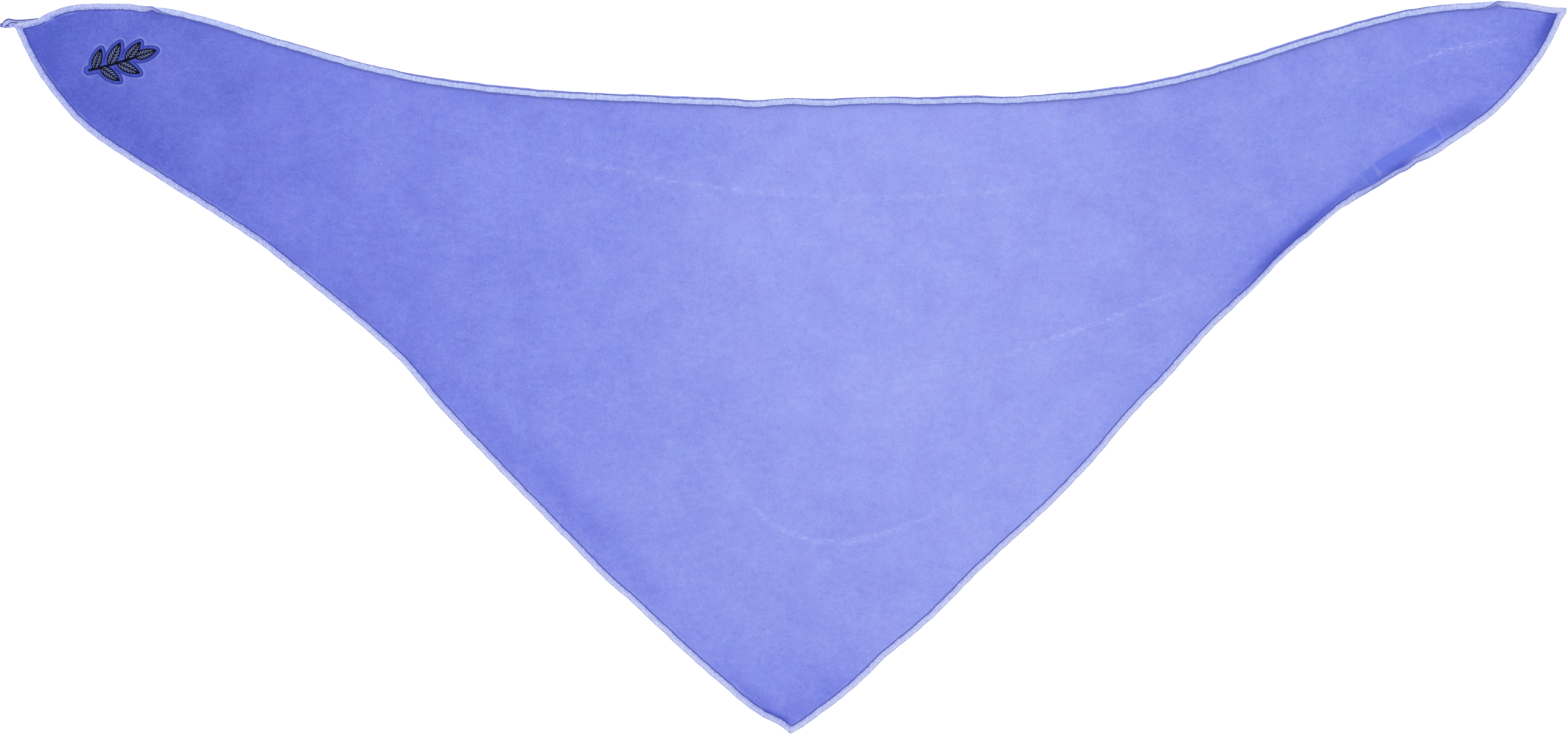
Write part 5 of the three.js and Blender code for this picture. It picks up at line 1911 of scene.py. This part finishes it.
@dataclass
class Tips:
    """What finishes the two upper tips: laps of one edge's stitches over the other's, and the thread tail."""

    plan: Plan
    over_left: tuple[Rung, ...] = (
        Rung(-0.4908, 0.9645, 0.9, 1.75), Rung(-0.488, 0.9662, 1.75, 2.0), Rung(-0.4825, 0.9679, 1.8, 2.05),
        Rung(-0.4751, 0.9719, 1.75, 1.9), Rung(-0.468, 0.977, 1.6, 1.4), Rung(-0.4625, 0.9803, 1.4, 0.8),
    )
    over_right: tuple[Rung, ...] = (
        Rung(0.4996, 0.9888, 0.8, 1.6), Rung(0.4985, 0.985, 1.65, 1.9), Rung(0.4968, 0.9795, 1.7, 2.0),
        Rung(0.4942, 0.9725, 1.7, 1.9), Rung(0.4926, 0.966, 1.65, 1.4), Rung(0.4904, 0.9585, 1.5, 0.8),
    )
    tail: tuple[Rung, ...] = (
        Rung(-0.4992, 0.964, 0.5, 0.6), Rung(-0.4982, 0.9655, 1.5, 0.7), Rung(-0.4965, 0.9675, 2.3, 0.8),
        Rung(-0.4945, 0.9689, 2.9, 0.8), Rung(-0.492, 0.969, 2.5, 0.8), Rung(-0.489, 0.9693, 2.0, 0.8),
        Rung(-0.4845, 0.9707, 1.6, 0.8), Rung(-0.4795, 0.973, 1.0, 0.8), Rung(-0.475, 0.9752, 0.4, 0.8),
    )
    rim: tuple[Knot, ...] = (
        Knot(-0.499, 0.9655, 0.9), Knot(-0.4973, 0.972, 1.3), Knot(-0.4948, 0.9748, 1.5),
        Knot(-0.4928, 0.9742, 1.6), Knot(-0.49, 0.9733, 1.5), Knot(-0.485, 0.9735, 1.4),
        Knot(-0.48, 0.9743, 1.2), Knot(-0.4757, 0.9757, 1.0),
    )
    row: tuple[Knot, ...] = (
        Knot(-0.4947, 0.968, 1.5), Knot(-0.4925, 0.97, 1.6), Knot(-0.489, 0.9698, 1.6),
        Knot(-0.484, 0.9706, 1.4), Knot(-0.4795, 0.9727, 1.2),
    )
    knots: tuple[Knot, ...] = (
        Knot(-0.4991, 0.9672, 0.9), Knot(-0.4993, 0.9645, 0.7), Knot(-0.4966, 0.9632, 0.7),
        Knot(-0.4953, 0.9652, 1.3), Knot(0.4025, 0.7757, 1.2),
    )
    corner: tuple[Knot, ...] = (
        Knot(0.4934, 0.9778, 1.9), Knot(0.4951, 0.982, 2.0), Knot(0.4968, 0.9862, 2.1),
    )

    def sew(self, draft: Draft, places: tuple[Knot, ...], radius: float, count: int) -> None:
        """Sew a row of short overlapping stitches along a smooth line.

        Args:
            draft: The mesh that takes them.
            places: Places that the line passes.
            radius: Radius of the thread.
            count: How many stitches.
        """
        path = np.array([(*self.plan.spot(x, y), z * MM) for x, y, z in places])
        step = np.concatenate(([0], np.cumsum(np.linalg.norm(np.diff(path, axis=0), axis=1))))
        at = (np.arange(count)[:, None] + np.linspace(-0.1, 1.1, 6)[None]) / count
        rows = [tuple(zip(step / step[-1], column)) for column in path.T]
        line = np.stack([smooth_value(table, np.clip(at, 0, 1)) for table in rows], -1)
        line = line + 1e-7 * np.arange(6)[None, :, None] * np.array((1.0, 0.3, 0.0))
        strands(draft, line, radius * np.array((0.3, 0.8, 1, 1, 0.8, 0.3)), 8)

    def build_threads(self) -> bpy.types.Object:
        """Make the dark thread of the tail: its rim, a row along its middle, and the knots at its end.

        Returns:
            The threads.
        """
        draft = Draft()
        self.sew(draft, self.rim, 0.36 * MM, 17)
        self.sew(draft, self.row, 0.26 * MM, 13)
        self.sew(draft, self.corner, 0.24 * MM, 4)
        for x, y, z in self.knots:
            loop = Knot(x - 0.0008, y - 0.0006, z), Knot(x, y + 0.0012, z + 0.2), Knot(x + 0.0009, y, z)
            self.sew(draft, loop, 0.5 * MM, 1)
        return draft.build("tail_threads")

    def make(self, finish: bpy.types.Material, dark: bpy.types.Material) -> list[bpy.types.Object]:
        """Build and dress the laps, the tail and its dark thread.

        Args:
            finish: Finish of the overlock thread.
            dark: Finish of the dark thread.

        Returns:
            The four pieces.
        """
        threads = self.build_threads()
        dress(threads, Slot.THREAD, dark)
        return [
            Ribbon(self.plan, "thread_tail", self.tail, 1.3 * MM, 1.0, 1.0).make(finish, "thread_tail_left"),
            Ribbon(self.plan, "left_tip_lap", self.over_left, 0.8 * MM, 0.35, 1.0).make(finish),
            Ribbon(self.plan, "right_tip_lap", self.over_right, 0.8 * MM, 0.0, 0.5).make(finish),
            threads,
        ]


@dataclass
class BackLabel:
    """A blank woven strip under the cloth, tacked down at both ends."""

    plan: Plan
    name: str
    node: str
    size: tuple[float, float]
    offset: float = 0.0
    thick: float = 0.4 * MM
    steps: tuple[int, int] = (60, 18)

    def on_plan(self, along: Array, across: Array) -> Array:
        """Plan places given along and across the strip."""
        local = np.stack(np.broadcast_arrays(along + self.offset, across), -1)
        return self.plan.spot(*self.plan.label_at) + turned(local, self.plan.label_turn)

    def build(self) -> bpy.types.Object:
        """Make the strip: two faces of a pillow whose thickness eases to its selvedges.

        Returns:
            The strip.
        """
        u = np.linspace(-1, 1, self.steps[0])[:, None]
        v = np.linspace(-1, 1, self.steps[1])[None, :]
        rim = np.minimum(np.sqrt(1 - np.abs(u) ** 12), np.sqrt(1 - np.abs(v) ** 8))
        place = self.on_plan(u * self.size[0] / 2, v * self.size[1] / 2)
        weave = np.stack(np.broadcast_arrays(u * self.size[0] / 2, v * self.size[1] / 2, 0 * u * v), -1)
        draft = Draft()
        middle = self.thick / 2
        faces = []
        for face in Face:
            height = middle + face.value * (0.03 * MM + (middle - 0.03 * MM) * rim)
            points = np.concatenate((place, height[..., None]), -1)
            faces.append(draft.add(points, weave=weave))
            draft.grid(faces[-1], flip=face is Face.FRONT)
        for cut, flip in (
            (np.s_[0, :], False), (np.s_[-1, :], True), (np.s_[:, 0], True), (np.s_[:, -1], False),
        ):
            draft.grid(np.stack((faces[0][cut], faces[1][cut])), flip=flip)
        return draft.build(self.name)

    def make(self, finish: bpy.types.Material) -> None:
        """Build and dress the strip."""
        dress(self.build(), Slot.LABEL, finish, self.node)


@dataclass
class Studio:
    """A pale floor, soft light from above and a camera that looks straight down, as the photograph does."""

    photo: tuple[int, int] = (2576, 1207)
    photo_span: float = 2573
    height: float = 3.0
    cloth_top: float = 1.5 * MM
    middle: tuple[float, float] = (0.000583, 0.49952)
    floor_reach: float = 12.0
    floor_gap: float = 0.02 * MM
    world_colour: str = "#ffffff"
    world_light: float = 1.03
    key_place: tuple[float, float, float] = (-0.35, 0.9, 2.4)
    key_size: float = 2.0
    key_power: float = 12.0

    def make(self, plan: Plan) -> None:
        """Set the floor, the lights and the camera.

        Args:
            plan: The neckerchief's plan, which the camera frames.
        """
        scene = bpy.context.scene
        scene.view_settings.view_transform = "Standard"
        scene.view_settings.look = "None"
        draft = Draft()
        corners = self.floor_reach * np.array([(-1, -1, 0), (1, -1, 0), (1, 1, 0), (-1, 1, 0)])
        draft.polygons(draft.add(corners - (0, 0, self.floor_gap))[None])
        floor = draft.build("floor", smooth=False)
        floor.data.materials.append(PaleFloor().material())
        world = bpy.data.worlds.new("studio")
        world.use_nodes = True
        sky = world.node_tree.nodes["Background"].inputs
        sky["Color"].default_value = linear(self.world_colour)
        sky["Strength"].default_value = self.world_light
        scene.world = world
        self.lamp("key", self.key_place, self.key_size, self.key_power)
        self.camera(plan)

    def lamp(self, name: str, place: tuple[float, float, float], size: float, power: float) -> None:
        """Hang a square soft light that looks at the origin.

        Args:
            name: The light's name.
            place: Where it hangs.
            size: Its side.
            power: Its power in watts.
        """
        light = bpy.data.lights.new(name, "AREA")
        light.size = size
        light.energy = power
        lamp = bpy.data.objects.new(name, light)
        lamp.location = place
        lamp.rotation_euler = (-lamp.location).to_track_quat("-Z", "Y").to_euler()
        bpy.context.scene.collection.objects.link(lamp)

    def camera(self, plan: Plan) -> None:
        """Hang the camera so that the photograph's frame is filled as it is there.

        The lens takes in, at the camera's height over the cloth, as many metres as the frame is wide.

        Args:
            plan: The neckerchief's plan.
        """
        data = bpy.data.cameras.new("camera")
        data.lens = data.sensor_width * self.height / (self.photo[0] * plan.width / self.photo_span)
        camera = bpy.data.objects.new("camera", data)
        camera.location = (*plan.spot(*self.middle), self.height + self.cloth_top)
        bpy.context.scene.collection.objects.link(camera)
        bpy.context.scene.camera = camera


def main() -> None:
    """Build every piece in order and report it."""
    logging.basicConfig(level=logging.INFO, format="%(name)s: %(message)s")
    plan = Plan()
    Studio().make(plan)
    sprig = Sprig(plan)
    cloth = ClothPanel(plan, sprig).make()
    band = OverlockThread().material()
    needle = NEEDLE_THREAD.material()
    hems = []
    for side, edge, deep, gaps, radius in (
        ("top", plan.top, TOP_DEEPS, TOP_GAPS, 0.22 * MM),
        ("left", plan.left, LEFT_DEEPS, LEFT_GAPS, 0.3 * MM),
        ("right", plan.right, RIGHT_DEEPS, RIGHT_GAPS, 0.3 * MM),
    ):
        hems += OverlockBand(plan, edge, side, deep, gaps, radius).make(band, needle)
    hems += Tips(plan).make(band, TAIL_THREAD.material())
    sprig.make()
    tape = WovenTape().material()
    BackLabel(plan, "label_strip", "woven_label", plan.label_size).make(tape)
    BackLabel(plan, "tag_strip", "size_tag", plan.tag_size, plan.tag_at, steps=(18, 18)).make(tape)


if __name__ == "__main__":
    main()
